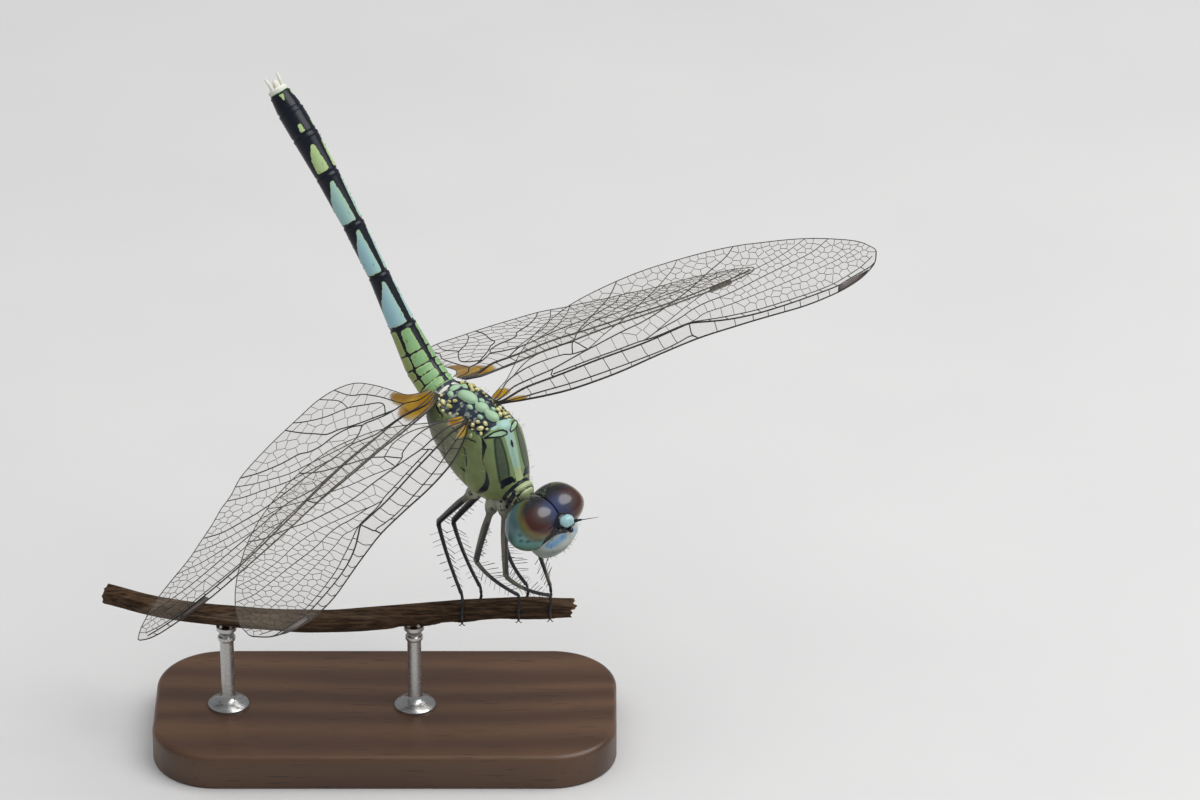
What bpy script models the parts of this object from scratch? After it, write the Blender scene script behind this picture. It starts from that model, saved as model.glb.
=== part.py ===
"""A ground-skimmer dragonfly at life size, head down on the broken end of a twig.

The twig is carried by two short rods on a flat base. The origin is the middle of
the base's underside, +Z is up and the twig runs along X. Sizes are in millimetres
and become metres where a mesh or an object is placed. The insect's own frame has
+X towards the head, +Y towards its left and +Z out of its back.
"""

import math

import bmesh
import bpy
import numpy as np
from mathutils import Euler, Matrix, Vector

MM = 0.001
SEAM = 0.2  # clearance of the thin cuts between the plates of the body
GAP = 0.3  # clearance of other touching pieces

# Pose of the insect: the middle of its thorax, and which way it faces.
THORAX_PLACE = (4.66, 1.47, 20.9)
HEADING = math.radians(-42.6)
NOSE_DOWN = math.radians(31.8)
BANK = math.radians(11.7)
INSECT_TURN = Euler((BANK, NOSE_DOWN, HEADING), "XYZ")

HEAD_PLACE = (7.9, 0.0, 0.1)
HEAD_LIFT = math.radians(15)

# Head and eyes. An eye is an oval ball, cut flat where it meets the other one.
EYE_HALF = (1.45, 1.8, 1.8)
EYE_OFFSET = 0.82
EYE_LEAN = math.radians(9)
SKULL_HALF = (1.62, 1.5, 1.6)
SKULL_DROP = 0.55
FEELER_LENGTH = 1.1
FEELER_RADIUS = 0.25

# The thorax from its hind end to the collar: station, top, bottom, half width.
THORAX_STATIONS = (
    (-1.95, 1.5, -0.65, 1.05),
    (-1.3, 1.95, -1.25, 1.65),
    (-0.3, 2.45, -2.05, 1.98),
    (1.0, 2.95, -2.7, 2.12),
    (2.3, 3.3, -3.0, 2.12),
    (3.1, 3.5, -3.0, 2.05),
    (3.9, 2.6, -2.8, 1.9),
    (4.7, 1.6, -2.2, 1.6),
    (5.35, 0.75, -1.35, 1.15),
)
PROTHORAX_STATIONS = (
    (5.35 + SEAM, 0.55, -1.15, 0.9),
    (5.85, 0.85, -1.5, 0.95),
    (6.3, 0.6, -1.2, 0.7),
)

# The abdomen's ten rings: length, lift above the thorax axis, end width.
ABDOMEN_START = (-1.95, 0.45)
ABDOMEN_START_WIDTH = 2.1
ABDOMEN_RINGS = (
    (0.65, -3, 2.2),
    (1.35, 12, 2.12),
    (2.7, 29, 1.65),
    (3.4, 31, 1.28),
    (3.4, 28, 1.32),
    (3.3, 25, 1.46),
    (2.65, 22, 1.62),
    (1.7, 19, 1.6),
    (1.2, 18, 1.28),
    (0.45, 18, 1.15),
)
ABDOMEN_FLATNESS = 0.94
CERCUS_LENGTH = 0.45
CERCUS_RADIUS = 0.26
CERCUS_SPREAD = 0.37

# Wings: the twist is that of the left wing, then of the right one, and the
# outline's rows are span fraction, leading edge and trailing edge.
WING_THICKNESS = 0.5
FOREWING = {
    "length": 24.4,
    "hinge": (1.95, 1.25, 3.0),
    "sweep": 17.7,
    "raise": 15.3,
    "twist": (24.0, 24.0),
    "outline": (
        (0.0, 0.1, 0.6),
        (0.04, 0.0, 1.8),
        (0.09, 0.0, 3.7),
        (0.17, 0.0, 5.0),
        (0.3, 0.0, 6.2),
        (0.4, 0.05, 6.5),
        (0.5, 0.0, 6.5),
        (0.68, -0.25, 5.95),
        (0.82, -0.25, 5.0),
        (0.92, 0.05, 4.0),
        (0.97, 0.4, 3.0),
        (1.0, 1.0, 2.0),
    ),
}
HINDWING = {
    "length": 22.9,
    "hinge": (-1.2, 1.9, 1.7),
    "sweep": 7.0,
    "raise": -8.7,
    "twist": (45.0, 38.0),
    "outline": (
        (0.0, 0.0, 0.6),
        (0.03, 0.0, 4.2),
        (0.07, 0.0, 6.7),
        (0.13, 0.0, 7.6),
        (0.22, 0.0, 7.4),
        (0.35, 0.0, 6.8),
        (0.5, 0.0, 5.85),
        (0.68, 0.0, 4.6),
        (0.82, 0.1, 3.65),
        (0.92, 0.3, 2.6),
        (0.97, 0.55, 1.95),
        (1.0, 0.9, 1.4),
    ),
}

# Legs: hip and knee in the insect's frame, then the grip on the twig (its place
# along the twig, and the angle round it from the top, towards -Y when positive).
LEGS = {
    "hind_right": ((3.4, -0.95, -2.9), (2.4, -1.45, -7.6), 4.7, 15, 125),
    "hind_left": ((3.4, 0.95, -2.9), (2.8, -0.55, -7.7), 5.8, -20, -110),
    "mid_right": ((5.0, -0.9, -2.4), (6.25, -2.1, -5.9), 8.1, 25, 125),
    "mid_left": ((4.9, 0.85, -2.4), (6.2, 0.3, -6.0), 8.6, -25, -110),
    "front_right": ((5.7, -0.65, -1.8), (8.3, -1.65, -5.1), 10.0, 25, 110),
    "front_left": ((5.7, 0.65, -1.8), (7.9, 1.3, -5.3), 10.0, -30, -110),
}
FEMUR_RADII = (0.3, 0.25)
TIBIA_RADIUS = 0.25
TARSUS_RADIUS = 0.25
TIBIA_BOW = 0.25
GRIP_CLEARANCE = 0.12

# Twig and stand.
TWIG_HEIGHT = 8.5
TWIG_RADIUS = 0.68
TWIG_ROUTE = (
    (-16.8, 2.2, 0.0),
    (-13.8, 0.9, -0.1),
    (-10.8, 0.0, -0.1),
    (-7.0, -0.7, -0.1),
    (-3.0, -0.9, -0.1),
    (1.0, -0.5, 0.0),
    (4.7, 0.1, 0.0),
    (8.5, 0.3, 0.1),
    (11.4, 0.3, 0.0),
)
SPLINTER_LENGTH = 0.5
BASE_SIZE = (28.0, 13.0, 2.2)
BASE_CORNER = 4.0
BASE_EDGE = 0.4
ROD_RADIUS = 0.6
ROD_STATIONS = {"stand_rod_left": -9.5, "stand_rod_right": 1.8}

for old in list(bpy.data.objects):
    bpy.data.objects.remove(old)

collection = bpy.data.collections.new("dragonfly")
bpy.context.scene.collection.children.link(collection)
cutters = bpy.data.collections.new("cutters")
bpy.context.scene.collection.children.link(cutters)


def material(name, colour, roughness, metallic=0.0):
    made = bpy.data.materials.new(name)
    made.use_nodes = True
    shader = made.node_tree.nodes["Principled BSDF"]
    shader.inputs["Base Color"].default_value = (*colour, 1.0)
    shader.inputs["Roughness"].default_value = roughness
    shader.inputs["Metallic"].default_value = metallic
    return made


def place(name, data, surface, parent=None, group=collection):
    """Makes the object of a mesh or a curve, in its collection."""
    made = bpy.data.objects.new(name, data)
    group.objects.link(made)
    made.data.materials.append(surface)
    made.parent = parent
    return made


def empty(name, location, turn, parent=None):
    made = bpy.data.objects.new(name, None)
    collection.objects.link(made)
    made.location = Vector(location) * MM
    made.rotation_euler = turn
    made.parent = parent
    return made


def mesh_of(name, shape, smooth_below=50):
    """Turns a bmesh into a mesh in metres, smooth but for its sharp edges."""
    bmesh.ops.scale(shape, vec=(MM, MM, MM), verts=shape.verts)
    bmesh.ops.recalc_face_normals(shape, faces=shape.faces)
    mesh = bpy.data.meshes.new(name)
    shape.to_mesh(mesh)
    shape.free()
    mesh.shade_smooth()
    mesh.set_sharp_from_angle(angle=math.radians(smooth_below))
    return mesh


def loft(name, rings):
    """A closed skin over rings of equal numbers of points, with flat ends."""
    shape = bmesh.new()
    rows = [[shape.verts.new(point) for point in ring] for ring in rings]
    for row, following in zip(rows, rows[1:]):
        for i in range(len(row)):
            j = (i + 1) % len(row)
            shape.faces.new((row[i], row[j], following[j], following[i]))
    shape.faces.new(rows[0])
    shape.faces.new(rows[-1])
    return mesh_of(name, shape)


def oval(centre, half_width, half_height, lean=0.0, sides=16):
    """A ring of points round the insect's long axis, its plane leant in pitch."""
    ring = []
    for i in range(sides):
        turn = 2 * math.pi * i / sides
        up = half_height * math.sin(turn)
        across = half_width * math.cos(turn)
        ring.append(
            Vector(centre) + Vector((up * math.sin(lean), across, up * math.cos(lean)))
        )
    return ring


def trunk(name, stations, sides):
    """A loft along X from rows of station, top, bottom and half width."""
    rings = [
        oval((x, 0, (top + bottom) / 2), half, (top - bottom) / 2, sides=sides)
        for x, top, bottom, half in stations
    ]
    return loft(name, rings)


def tube(name, points, radii, surface, parent=None):
    """A bevelled curve through points, with a radius at each and filled caps."""
    curve = bpy.data.curves.new(name, "CURVE")
    curve.dimensions = "3D"
    curve.bevel_depth = MM
    curve.bevel_resolution = 2
    curve.use_fill_caps = True
    spline = curve.splines.new("POLY")
    spline.points.add(len(points) - 1)
    for knot, point, radius in zip(spline.points, points, radii):
        knot.co = (*(Vector(point) * MM), 1.0)
        knot.radius = radius
    return place(name, curve, surface, parent)


def smooth_route(knots, steps):
    """Points on a Catmull-Rom curve through the knots."""
    knots = [Vector(knot) for knot in knots]
    padded = [2 * knots[0] - knots[1], *knots, 2 * knots[-1] - knots[-2]]
    route = []
    for a, b, c, d in zip(padded, padded[1:], padded[2:], padded[3:]):
        for i in range(steps):
            t = i / steps
            route.append(
                0.5
                * (
                    2 * b
                    + (c - a) * t
                    + (2 * a - 5 * b + 4 * c - d) * t * t
                    + (3 * b - a - 3 * c + d) * t**3
                )
            )
    route.append(knots[-1])
    return route


green = material("thorax_green", (0.27, 0.36, 0.10), 0.4)
pale_green = material("abdomen_green", (0.42, 0.55, 0.28), 0.4)
black = material("shell_black", (0.012, 0.013, 0.014), 0.35)
cream = material("cream", (0.72, 0.70, 0.45), 0.5)
face_blue = material("face_blue", (0.45, 0.62, 0.68), 0.4)
eye_brown = material("eye_brown", (0.09, 0.035, 0.03), 0.15)
membrane = material("wing_membrane", (0.55, 0.53, 0.48), 0.3)
leg_black = material("leg_black", (0.02, 0.018, 0.016), 0.45)
bark = material("bark", (0.09, 0.05, 0.03), 0.85)
walnut = material("walnut", (0.12, 0.06, 0.03), 0.4)
steel = material("steel", (0.6, 0.6, 0.6), 0.3, 1.0)

insect = empty("insect", THORAX_PLACE, INSECT_TURN)
skull = empty("skull", HEAD_PLACE, Euler((0.0, -HEAD_LIFT, 0.0)), insect)
INSECT_TO_WORLD = Matrix.Translation(THORAX_PLACE) @ INSECT_TURN.to_matrix().to_4x4()


def eye_ball(name, side, swell, group):
    """An oval eyeball, leaning in at the top, grown by swell on every side."""
    shape = bmesh.new()
    bmesh.ops.create_uvsphere(shape, u_segments=20, v_segments=13, radius=1.0)
    bmesh.ops.scale(shape, vec=[half + swell for half in EYE_HALF], verts=shape.verts)
    turn = Matrix.Rotation(side * EYE_LEAN, 4, "X")
    shift = Matrix.Translation((0, side * EYE_OFFSET, 0))
    bmesh.ops.transform(shape, matrix=shift @ turn, verts=shape.verts)
    if not swell:
        cut = bmesh.ops.bisect_plane(
            shape,
            geom=[*shape.verts, *shape.edges, *shape.faces],
            plane_co=(0, side * SEAM / 2, 0),
            plane_no=(0, -side, 0),
            clear_outer=True,
        )
        rim = [edge for edge in cut["geom_cut"] if isinstance(edge, bmesh.types.BMEdge)]
        bmesh.ops.contextual_create(shape, geom=rim)
    return place(name, mesh_of(name, shape), eye_brown, skull, group)


def face_mesh(name):
    """The face as rows of height, middle, half depth and half width, top to chin."""
    rows = (
        (1.45, 1.35, 0.35, 0.35),
        (1.1, 1.25, 0.6, 0.6),
        (0.7, 1.15, 1.0, 0.95),
        (0.1, 1.1, 1.2, 1.15),
        (-0.6, 1.0, 1.2, 1.3),
        (-1.2, 0.85, 1.15, 1.35),
        (-1.8, 0.65, 1.0, 1.25),
        (-2.3, 0.4, 0.75, 0.95),
        (-2.5, 0.2, 0.45, 0.6),
    )
    sides = 16
    rings = []
    for height, middle, depth, half in rows:
        turns = [2 * math.pi * i / sides for i in range(sides)]
        rings.append(
            [(middle + depth * math.cos(t), half * math.sin(t), height) for t in turns]
        )
    return loft(name, rings)


def add_head():
    """The skull behind and between the eyes, joined to the face."""
    for side, word in ((1, "left"), (-1, "right")):
        eye_ball("eye_" + word, side, 0.0, collection)
    shape = bmesh.new()
    bmesh.ops.create_uvsphere(shape, u_segments=20, v_segments=12, radius=1.0)
    bmesh.ops.scale(shape, vec=SKULL_HALF, verts=shape.verts)
    bmesh.ops.translate(shape, vec=(0, 0, -SKULL_DROP), verts=shape.verts)
    head = place("head", mesh_of("head", shape), face_blue, skull)
    face = place("face_cutter", face_mesh("face_cutter"), face_blue, skull, cutters)
    join(head, face, "UNION")
    for side, word in ((1, "left"), (-1, "right")):
        join(head, eye_ball("socket_" + word, side, SEAM, cutters), "DIFFERENCE")


def join(body, other, operation):
    """Adds an exact Boolean of the other object, which stays out of the render."""
    other.hide_render = True
    other.display_type = "WIRE"
    modifier = body.modifiers.new(other.name, "BOOLEAN")
    modifier.operation = operation
    modifier.solver = "EXACT"
    modifier.object = other


def add_feelers():
    for side, word in ((1, "left"), (-1, "right")):
        root = Vector((1.95 + FEELER_RADIUS, side * 0.75, 1.15))
        tip = root + FEELER_LENGTH * Vector((0.72, side * 0.5, 0.48))
        radii = (FEELER_RADIUS, FEELER_RADIUS)
        tube("antenna_" + word, (root, tip), radii, leg_black, skull)


def add_abdomen():
    """Ten rings end to end, each parted from the next by a thin cut."""
    middle = Vector((ABDOMEN_START[0], 0, ABDOMEN_START[1]))
    width = ABDOMEN_START_WIDTH
    lifts = [ring[1] for ring in ABDOMEN_RINGS]
    last = len(ABDOMEN_RINGS) - 1
    for i, (length, lift, end_width) in enumerate(ABDOMEN_RINGS):
        along = Vector((-math.cos(math.radians(lift)), 0, math.sin(math.radians(lift))))
        lean_in = (lift + lifts[max(i - 1, 0)]) / 2
        lean_out = (lift + lifts[min(i + 1, last)]) / 2
        rings = []
        for part, swell in ((0, 1.0), (0.15, 1.0), (0.5, 0.98), (0.85, 1.0), (1, 1.0)):
            reach = SEAM / 2 + part * (length - SEAM)
            half = swell * (width + (end_width - width) * part) / 2
            lean = math.radians(lean_in + (lean_out - lean_in) * part)
            centre = middle + along * reach
            rings.append(oval(centre, half, half * ABDOMEN_FLATNESS, lean, 14))
        name = f"abdomen_{i + 1:02d}"
        surface = pale_green if i < 7 else black
        place(name, loft(name, rings), surface, insect)
        middle = middle + along * length
        width = end_width
    for side, word in ((1, "left"), (-1, "right")):
        root = middle + along * GAP / 2 + Vector((0, side * CERCUS_SPREAD, 0.1))
        tip = root + along * CERCUS_LENGTH + Vector((0, side * 0.05, 0.05))
        radii = (CERCUS_RADIUS, CERCUS_RADIUS, CERCUS_RADIUS * 0.7)
        points = (root, root.lerp(tip, 0.6), tip)
        tube("cercus_" + word, points, radii, cream, insect)


def outline_at(outline, fraction):
    """Leading and trailing edge of a wing at a fraction of its span."""
    rows = np.array(outline)
    return [float(np.interp(fraction, rows[:, 0], rows[:, k])) for k in (1, 2)]


def add_wing(name, wing, side):
    """A flat blade from its outline, thickened evenly on both sides."""
    stations = [row[0] for row in wing["outline"]]
    fractions = sorted({*stations, 0.24, 0.45, 0.59, 0.75, 0.87, 0.945})
    chords = [0, 0.12, 0.35, 0.65, 0.88, 1]
    shape = bmesh.new()
    rows = []
    for fraction in fractions:
        front, rear = outline_at(wing["outline"], fraction)
        rows.append(
            [
                shape.verts.new(
                    Vector((fraction * wing["length"], front + (rear - front) * v, 0))
                    * MM
                )
                for v in chords
            ]
        )
    for row, following in zip(rows, rows[1:]):
        for i in range(len(chords) - 1):
            shape.faces.new((row[i], following[i], following[i + 1], row[i + 1]))
    mesh = bpy.data.meshes.new(name)
    shape.to_mesh(mesh)
    shape.free()
    made = place(name, mesh, membrane, insect)
    solid = made.modifiers.new("thickness", "SOLIDIFY")
    solid.thickness = WING_THICKNESS * MM
    solid.offset = 0.0
    hinge = Vector(wing["hinge"])
    hinge.y *= side
    made.matrix_local = Matrix.Translation(hinge * MM) @ wing_turn(wing, side)


def wing_turn(wing, side):
    """Turns a blade's span and chord to lie as the wing is held on that side."""
    sweep, lift = (math.radians(wing[key]) for key in ("sweep", "raise"))
    twist = math.radians(wing["twist"][0 if side > 0 else 1])
    span = Vector(
        (
            math.sin(sweep) * math.cos(lift),
            side * math.cos(sweep) * math.cos(lift),
            math.sin(lift),
        )
    )
    back = Vector((-1, 0, 0))
    back = (back - back.dot(span) * span).normalized()
    up = span.cross(back) * side
    chord = math.cos(twist) * back - math.sin(twist) * up
    normal = span.cross(chord)
    return Matrix((span, chord, normal)).transposed().to_4x4()


def twig_at(station):
    """Middle of the twig at a place along X."""
    xs, ys, rises = (np.array(column) for column in zip(*TWIG_ROUTE))
    across = float(np.interp(station, xs, ys))
    return Vector((station, across, TWIG_HEIGHT + float(np.interp(station, xs, rises))))


def round_twig(station, degrees, distance):
    turn = math.radians(degrees)
    return twig_at(station) + distance * Vector((0, -math.sin(turn), math.cos(turn)))


def add_leg(word, hip, knee, station, first, last):
    """Femur, tibia and the tarsus that curls round the twig."""
    hip, knee = (INSECT_TO_WORLD @ Vector(point) for point in (hip, knee))
    hold = TWIG_RADIUS + GRIP_CLEARANCE + TARSUS_RADIUS
    ankle = round_twig(station, first, hold + 0.35)
    thigh = (knee - hip).normalized()
    points = [hip, hip.lerp(knee, 0.3), hip.lerp(knee, 0.75), knee - thigh * SEAM]
    thick, thin = FEMUR_RADII
    tube("femur_" + word, points, (thin, thick, thick, thin), leg_black)
    shin = (ankle - knee).normalized()
    start = knee + shin * (TIBIA_RADIUS + SEAM)
    end = ankle - shin * SEAM
    outward = (knee - (hip + ankle) / 2).normalized() * TIBIA_BOW
    points = [start, start.lerp(end, 0.35) + outward, start.lerp(end, 0.7) + outward, end]
    tube("tibia_" + word, points, [TIBIA_RADIUS] * 4, leg_black)
    turns = [first + (last - first) * i / 5 for i in range(6)]
    lead = ankle + shin * SEAM
    points = [lead] + [round_twig(station, turn, hold) for turn in turns[1:]]
    tube("tarsus_" + word, points, [TARSUS_RADIUS] * len(points), leg_black)


def add_twig():
    """A gently bent rod, its broken end drawn out to a short splinter."""
    knots = [(x, y, TWIG_HEIGHT + rise) for x, y, rise in TWIG_ROUTE]
    points = smooth_route(knots, 3)
    radii = [TWIG_RADIUS] * len(points)
    radii[0] *= 0.9
    tip = points[-1] + Vector((SPLINTER_LENGTH, 0, -0.3))
    tube("perch_twig", [*points, tip], [*radii, TWIG_RADIUS * 0.4], bark)


def add_stand():
    """A rounded slab and the rods that rise from it to the twig."""
    length, depth, height = (size * MM for size in BASE_SIZE)
    bpy.ops.mesh.primitive_cube_add(size=1, location=(0, 0, height / 2))
    base = bpy.context.object
    base.name = base.data.name = "stand_base"
    for owner in list(base.users_collection):
        owner.objects.unlink(base)
    collection.objects.link(base)
    base.data.transform(Matrix.Diagonal((length, depth, height, 1)))
    base.data.materials.append(walnut)
    corners = base.data.attributes.new("bevel_weight_edge", "FLOAT", "EDGE")
    for edge in base.data.edges:
        a, b = (base.data.vertices[k].co for k in edge.vertices)
        corners.data[edge.index].value = 1.0 if abs(a.z - b.z) > height / 2 else 0.0
    rounded = base.modifiers.new("corners", "BEVEL")
    rounded.limit_method = "WEIGHT"
    rounded.width = BASE_CORNER * MM
    rounded.segments = 6
    eased = base.modifiers.new("edges", "BEVEL")
    eased.limit_method = "ANGLE"
    eased.angle_limit = math.radians(60)
    eased.width = BASE_EDGE * MM
    eased.segments = 2
    base.data.shade_smooth()
    base.data.set_sharp_from_angle(angle=math.radians(50))
    for name, station in ROD_STATIONS.items():
        foot = twig_at(station)
        low = BASE_SIZE[2] + GAP
        high = foot.z - TWIG_RADIUS - GAP
        shape = bmesh.new()
        bmesh.ops.create_cone(
            shape,
            cap_ends=True,
            segments=20,
            radius1=ROD_RADIUS,
            radius2=ROD_RADIUS,
            depth=high - low,
        )
        rod = place(name, mesh_of(name, shape), steel)
        rod.location = Vector((foot.x, foot.y, (high + low) / 2)) * MM


place("thorax", trunk("thorax", THORAX_STATIONS, 20), green, insect)
place("prothorax", trunk("prothorax", PROTHORAX_STATIONS, 14), cream, insect)
add_head()
add_feelers()
add_abdomen()
for side, word in ((1, "left"), (-1, "right")):
    add_wing("forewing_" + word, FOREWING, side)
    add_wing("hindwing_" + word, HINDWING, side)
for word, leg in LEGS.items():
    add_leg(word, *leg)
add_twig()
add_stand()
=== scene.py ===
import math

import bmesh
import bpy
import numpy as np
from mathutils import Euler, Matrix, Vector
from mathutils.geometry import delaunay_2d_cdt


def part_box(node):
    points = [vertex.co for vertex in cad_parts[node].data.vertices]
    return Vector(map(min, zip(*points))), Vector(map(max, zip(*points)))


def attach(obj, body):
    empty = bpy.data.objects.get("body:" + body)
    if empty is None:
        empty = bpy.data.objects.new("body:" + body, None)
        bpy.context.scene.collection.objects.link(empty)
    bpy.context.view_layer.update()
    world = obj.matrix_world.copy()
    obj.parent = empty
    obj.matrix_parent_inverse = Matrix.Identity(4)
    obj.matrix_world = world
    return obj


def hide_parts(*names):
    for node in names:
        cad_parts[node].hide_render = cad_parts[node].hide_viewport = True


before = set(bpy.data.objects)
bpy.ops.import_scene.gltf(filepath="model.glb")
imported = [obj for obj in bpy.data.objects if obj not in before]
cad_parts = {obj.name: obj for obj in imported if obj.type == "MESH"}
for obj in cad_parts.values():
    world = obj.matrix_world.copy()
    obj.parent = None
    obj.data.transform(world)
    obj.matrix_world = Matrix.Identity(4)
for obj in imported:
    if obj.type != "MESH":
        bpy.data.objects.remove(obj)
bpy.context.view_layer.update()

# The studio: a pale matt floor, two soft lamps and a round one that gives the
# eyes their pale spot. The camera looks down at 28 degrees through a long lens.
MM = 0.001
MIDDLE = Vector((13.0, 2.0, 21.9)) * MM
DISTANCE = 0.4
ELEVATION = math.radians(28)
SENSOR_WIDTH = 36
VIEW_WIDTH = 500 / 7 * MM

towards_camera = Vector((0, -math.cos(ELEVATION), math.sin(ELEVATION)))
camera_data = bpy.data.cameras.new("camera")
camera_data.sensor_width = SENSOR_WIDTH
camera_data.lens = SENSOR_WIDTH * DISTANCE / VIEW_WIDTH
camera_data.clip_start = 0.01
camera = bpy.data.objects.new("camera", camera_data)
camera.location = MIDDLE + DISTANCE * towards_camera
camera.rotation_euler = (math.pi / 2 - ELEVATION, 0, 0)
bpy.context.scene.collection.objects.link(camera)
bpy.context.scene.camera = camera
bpy.context.scene.view_settings.view_transform = "Standard"


def softbox(name, direction, reach, size, watts, shape="SQUARE"):
    """A lamp at a reach in metres from the middle of the view, which it faces."""
    lamp = bpy.data.lights.new(name, "AREA")
    lamp.shape = shape
    lamp.size = size
    lamp.energy = watts
    made = bpy.data.objects.new(name, lamp)
    heading = Vector(direction).normalized()
    made.location = MIDDLE + reach * heading
    made.rotation_euler = heading.to_track_quat("Z", "Y").to_euler()
    bpy.context.scene.collection.objects.link(made)
    return made


softbox("top_light", (-0.35, 0.2, 1.0), 0.5, 0.5, 1.3).visible_glossy = False
softbox("fill_light", (-1.0, -0.9, 0.35), 0.6, 0.5, 0.35).visible_glossy = False
softbox("round_light", (0.5, -0.1, 0.86), 0.3, 0.3, 0.95, "DISK")

world = bpy.data.worlds.new("studio")
world.use_nodes = True
backdrop = world.node_tree.nodes["Background"]
backdrop.inputs["Color"].default_value = (0.9, 0.95, 1, 1)
backdrop.inputs["Strength"].default_value = 0.32
bpy.context.scene.world = world


# The floor: a wide sheet of pale matt paper, a little mottled. Its material is grown
# from nodes, as all others are: grow adds a node to a tree and sets or links its
# inputs, and layer lays one colour over another by a mask.
def grow(tree, kind, inputs=None, **settings):
    made = tree.nodes.new(kind if "Node" in kind else "ShaderNode" + kind)
    for key, value in settings.items():
        setattr(made, key, value)
    for key, value in (inputs or {}).items():
        if isinstance(value, bpy.types.NodeSocket):
            tree.links.new(value, made.inputs[key])
        else:
            made.inputs[key].default_value = value
    return made


def layer(tree, mask, under, over):
    inputs = {0: mask, 6: under, 7: over}
    return grow(tree, "Mix", inputs, data_type="RGBA").outputs[2]


def maths(tree, operation, *values):
    inputs = dict(enumerate(values))
    return grow(tree, "Math", inputs, operation=operation).outputs[0]


def blend_range(tree, value, low, high, to_low=0.0, to_high=1.0):
    inputs = {0: value, 1: low, 2: high, 3: to_low, 4: to_high}
    made = grow(tree, "MapRange", inputs, interpolation_type="SMOOTHSTEP")
    return made.outputs[0]


def rgb(red, green, blue):
    return (red, green, blue, 1.0)


def new_material(name, **plain):
    """A material with a Principled BSDF, whose plain values are set by name."""
    made = bpy.data.materials.new(name)
    made.use_nodes = True
    shader = made.node_tree.nodes["Principled BSDF"]
    for key, value in plain.items():
        shader.inputs[key.replace("_", " ")].default_value = value
    return made, made.node_tree, shader


def feed(tree, shader, **sockets):
    for key, socket in sockets.items():
        tree.links.new(socket, shader.inputs[key.replace("_", " ")])


def object_place(tree):
    return grow(tree, "TexCoord").outputs["Object"]


def noise(tree, scale, **more):
    """Noise from 0 to 1 that stays on the object, with so many waves a metre."""
    if "Vector" not in more:
        more["Vector"] = object_place(tree)
    return grow(tree, "TexNoise", {"Scale": scale, **more}).outputs["Fac"]


def drifting(name, scale, dark, light, **plain):
    """A plain material whose colour drifts slowly between two tones."""
    made, tree, shader = new_material(name, **plain)
    feed(tree, shader, Base_Color=layer(tree, noise(tree, scale), dark, light))
    return made


def relief(tree, height, depth, strength=1.0):
    """A bump of the height, which is 0 to 1, over a depth in millimetres."""
    inputs = {"Height": height, "Distance": depth * MM, "Strength": strength}
    return grow(tree, "Bump", inputs).outputs["Normal"]


FLOOR_SIZE = 4

floor_paper = drifting(
    "floor", 60.0, rgb(0.56, 0.55, 0.545), rgb(0.6, 0.59, 0.58), Roughness=0.9
)
bpy.ops.mesh.primitive_plane_add(size=FLOOR_SIZE)
floor = bpy.context.object
floor.name = "floor"
floor.data.materials.append(floor_paper)


# The body: one hard shell from the neck to the tail, over collar, thorax and abdomen.
# Sutures, the lumps between the wing bases and the ring edges are modelled in it, and
# its markings are kept on it as distances in millimetres, so that they stay sharp.

# A row of the trunk is a station along it, its top, its foot and its half width. A
# ring of the tail is its length, its rise in degrees and its width at the end.
THORAX_PLACE = Vector((4.66, 1.47, 20.9))
BANK, NOSE_DOWN, HEADING = (math.radians(angle) for angle in (11.7, 31.8, -42.6))
INSECT_TURN = Euler((BANK, NOSE_DOWN, HEADING), "XYZ").to_matrix()
TRUNK_ROWS = (
    (7.0, 0.15, -0.4, 0.26),
    (6.5, 0.3, -0.65, 0.4),
    (6.3, 0.62, -1.15, 0.72),
    (5.9, 0.86, -1.45, 0.95),
    (5.6, 0.6, -1.2, 0.9),
    (5.35, 0.8, -1.3, 1.15),
    (4.7, 1.6, -2.2, 1.6),
    (3.9, 2.62, -2.8, 1.9),
    (3.1, 3.5, -3.0, 2.05),
    (2.3, 3.32, -3.0, 2.12),
    (1.0, 2.97, -2.7, 2.12),
    (-0.3, 2.47, -2.05, 1.98),
    (-1.3, 1.97, -1.25, 1.65),
    (-1.95, 1.5, -0.65, 1.05),
)
TAIL_START = (-1.95, 0.45)
TAIL_START_WIDTH = 2.1
TAIL_RINGS = (
    (0.65, -3, 2.2),
    (1.35, 12, 2.12),
    (2.7, 29, 1.65),
    (3.4, 31, 1.28),
    (3.4, 28, 1.32),
    (3.3, 25, 1.46),
    (2.65, 22, 1.62),
    (1.7, 19, 1.6),
    (1.2, 18, 1.28),
    (0.45, 18, 1.15),
)
TAIL_FLATNESS = 0.94
RING_STEP = 0.075
SKIN_SIDES = 176
# Depths and heights of the relief on the shell, and a distance beyond any marking.
SADDLE_DEPTH, LINE_DEPTH, SUTURE_DEPTH, RING_DEPTH = 0.24, 0.05, 0.09, 0.045
RIM_RISE, KEEL_RISE, RING_LIP, TAIL_KEEL = 0.05, 0.05, 0.03, 0.02
FAR = 9.0


def in_room(points, turn=INSECT_TURN, place=THORAX_PLACE):
    """Points in millimetres in the insect's frame, as metres in the room."""
    turned = np.asarray(points, float) @ np.array(turn).T
    return (turned + np.array(place)) * MM


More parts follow.
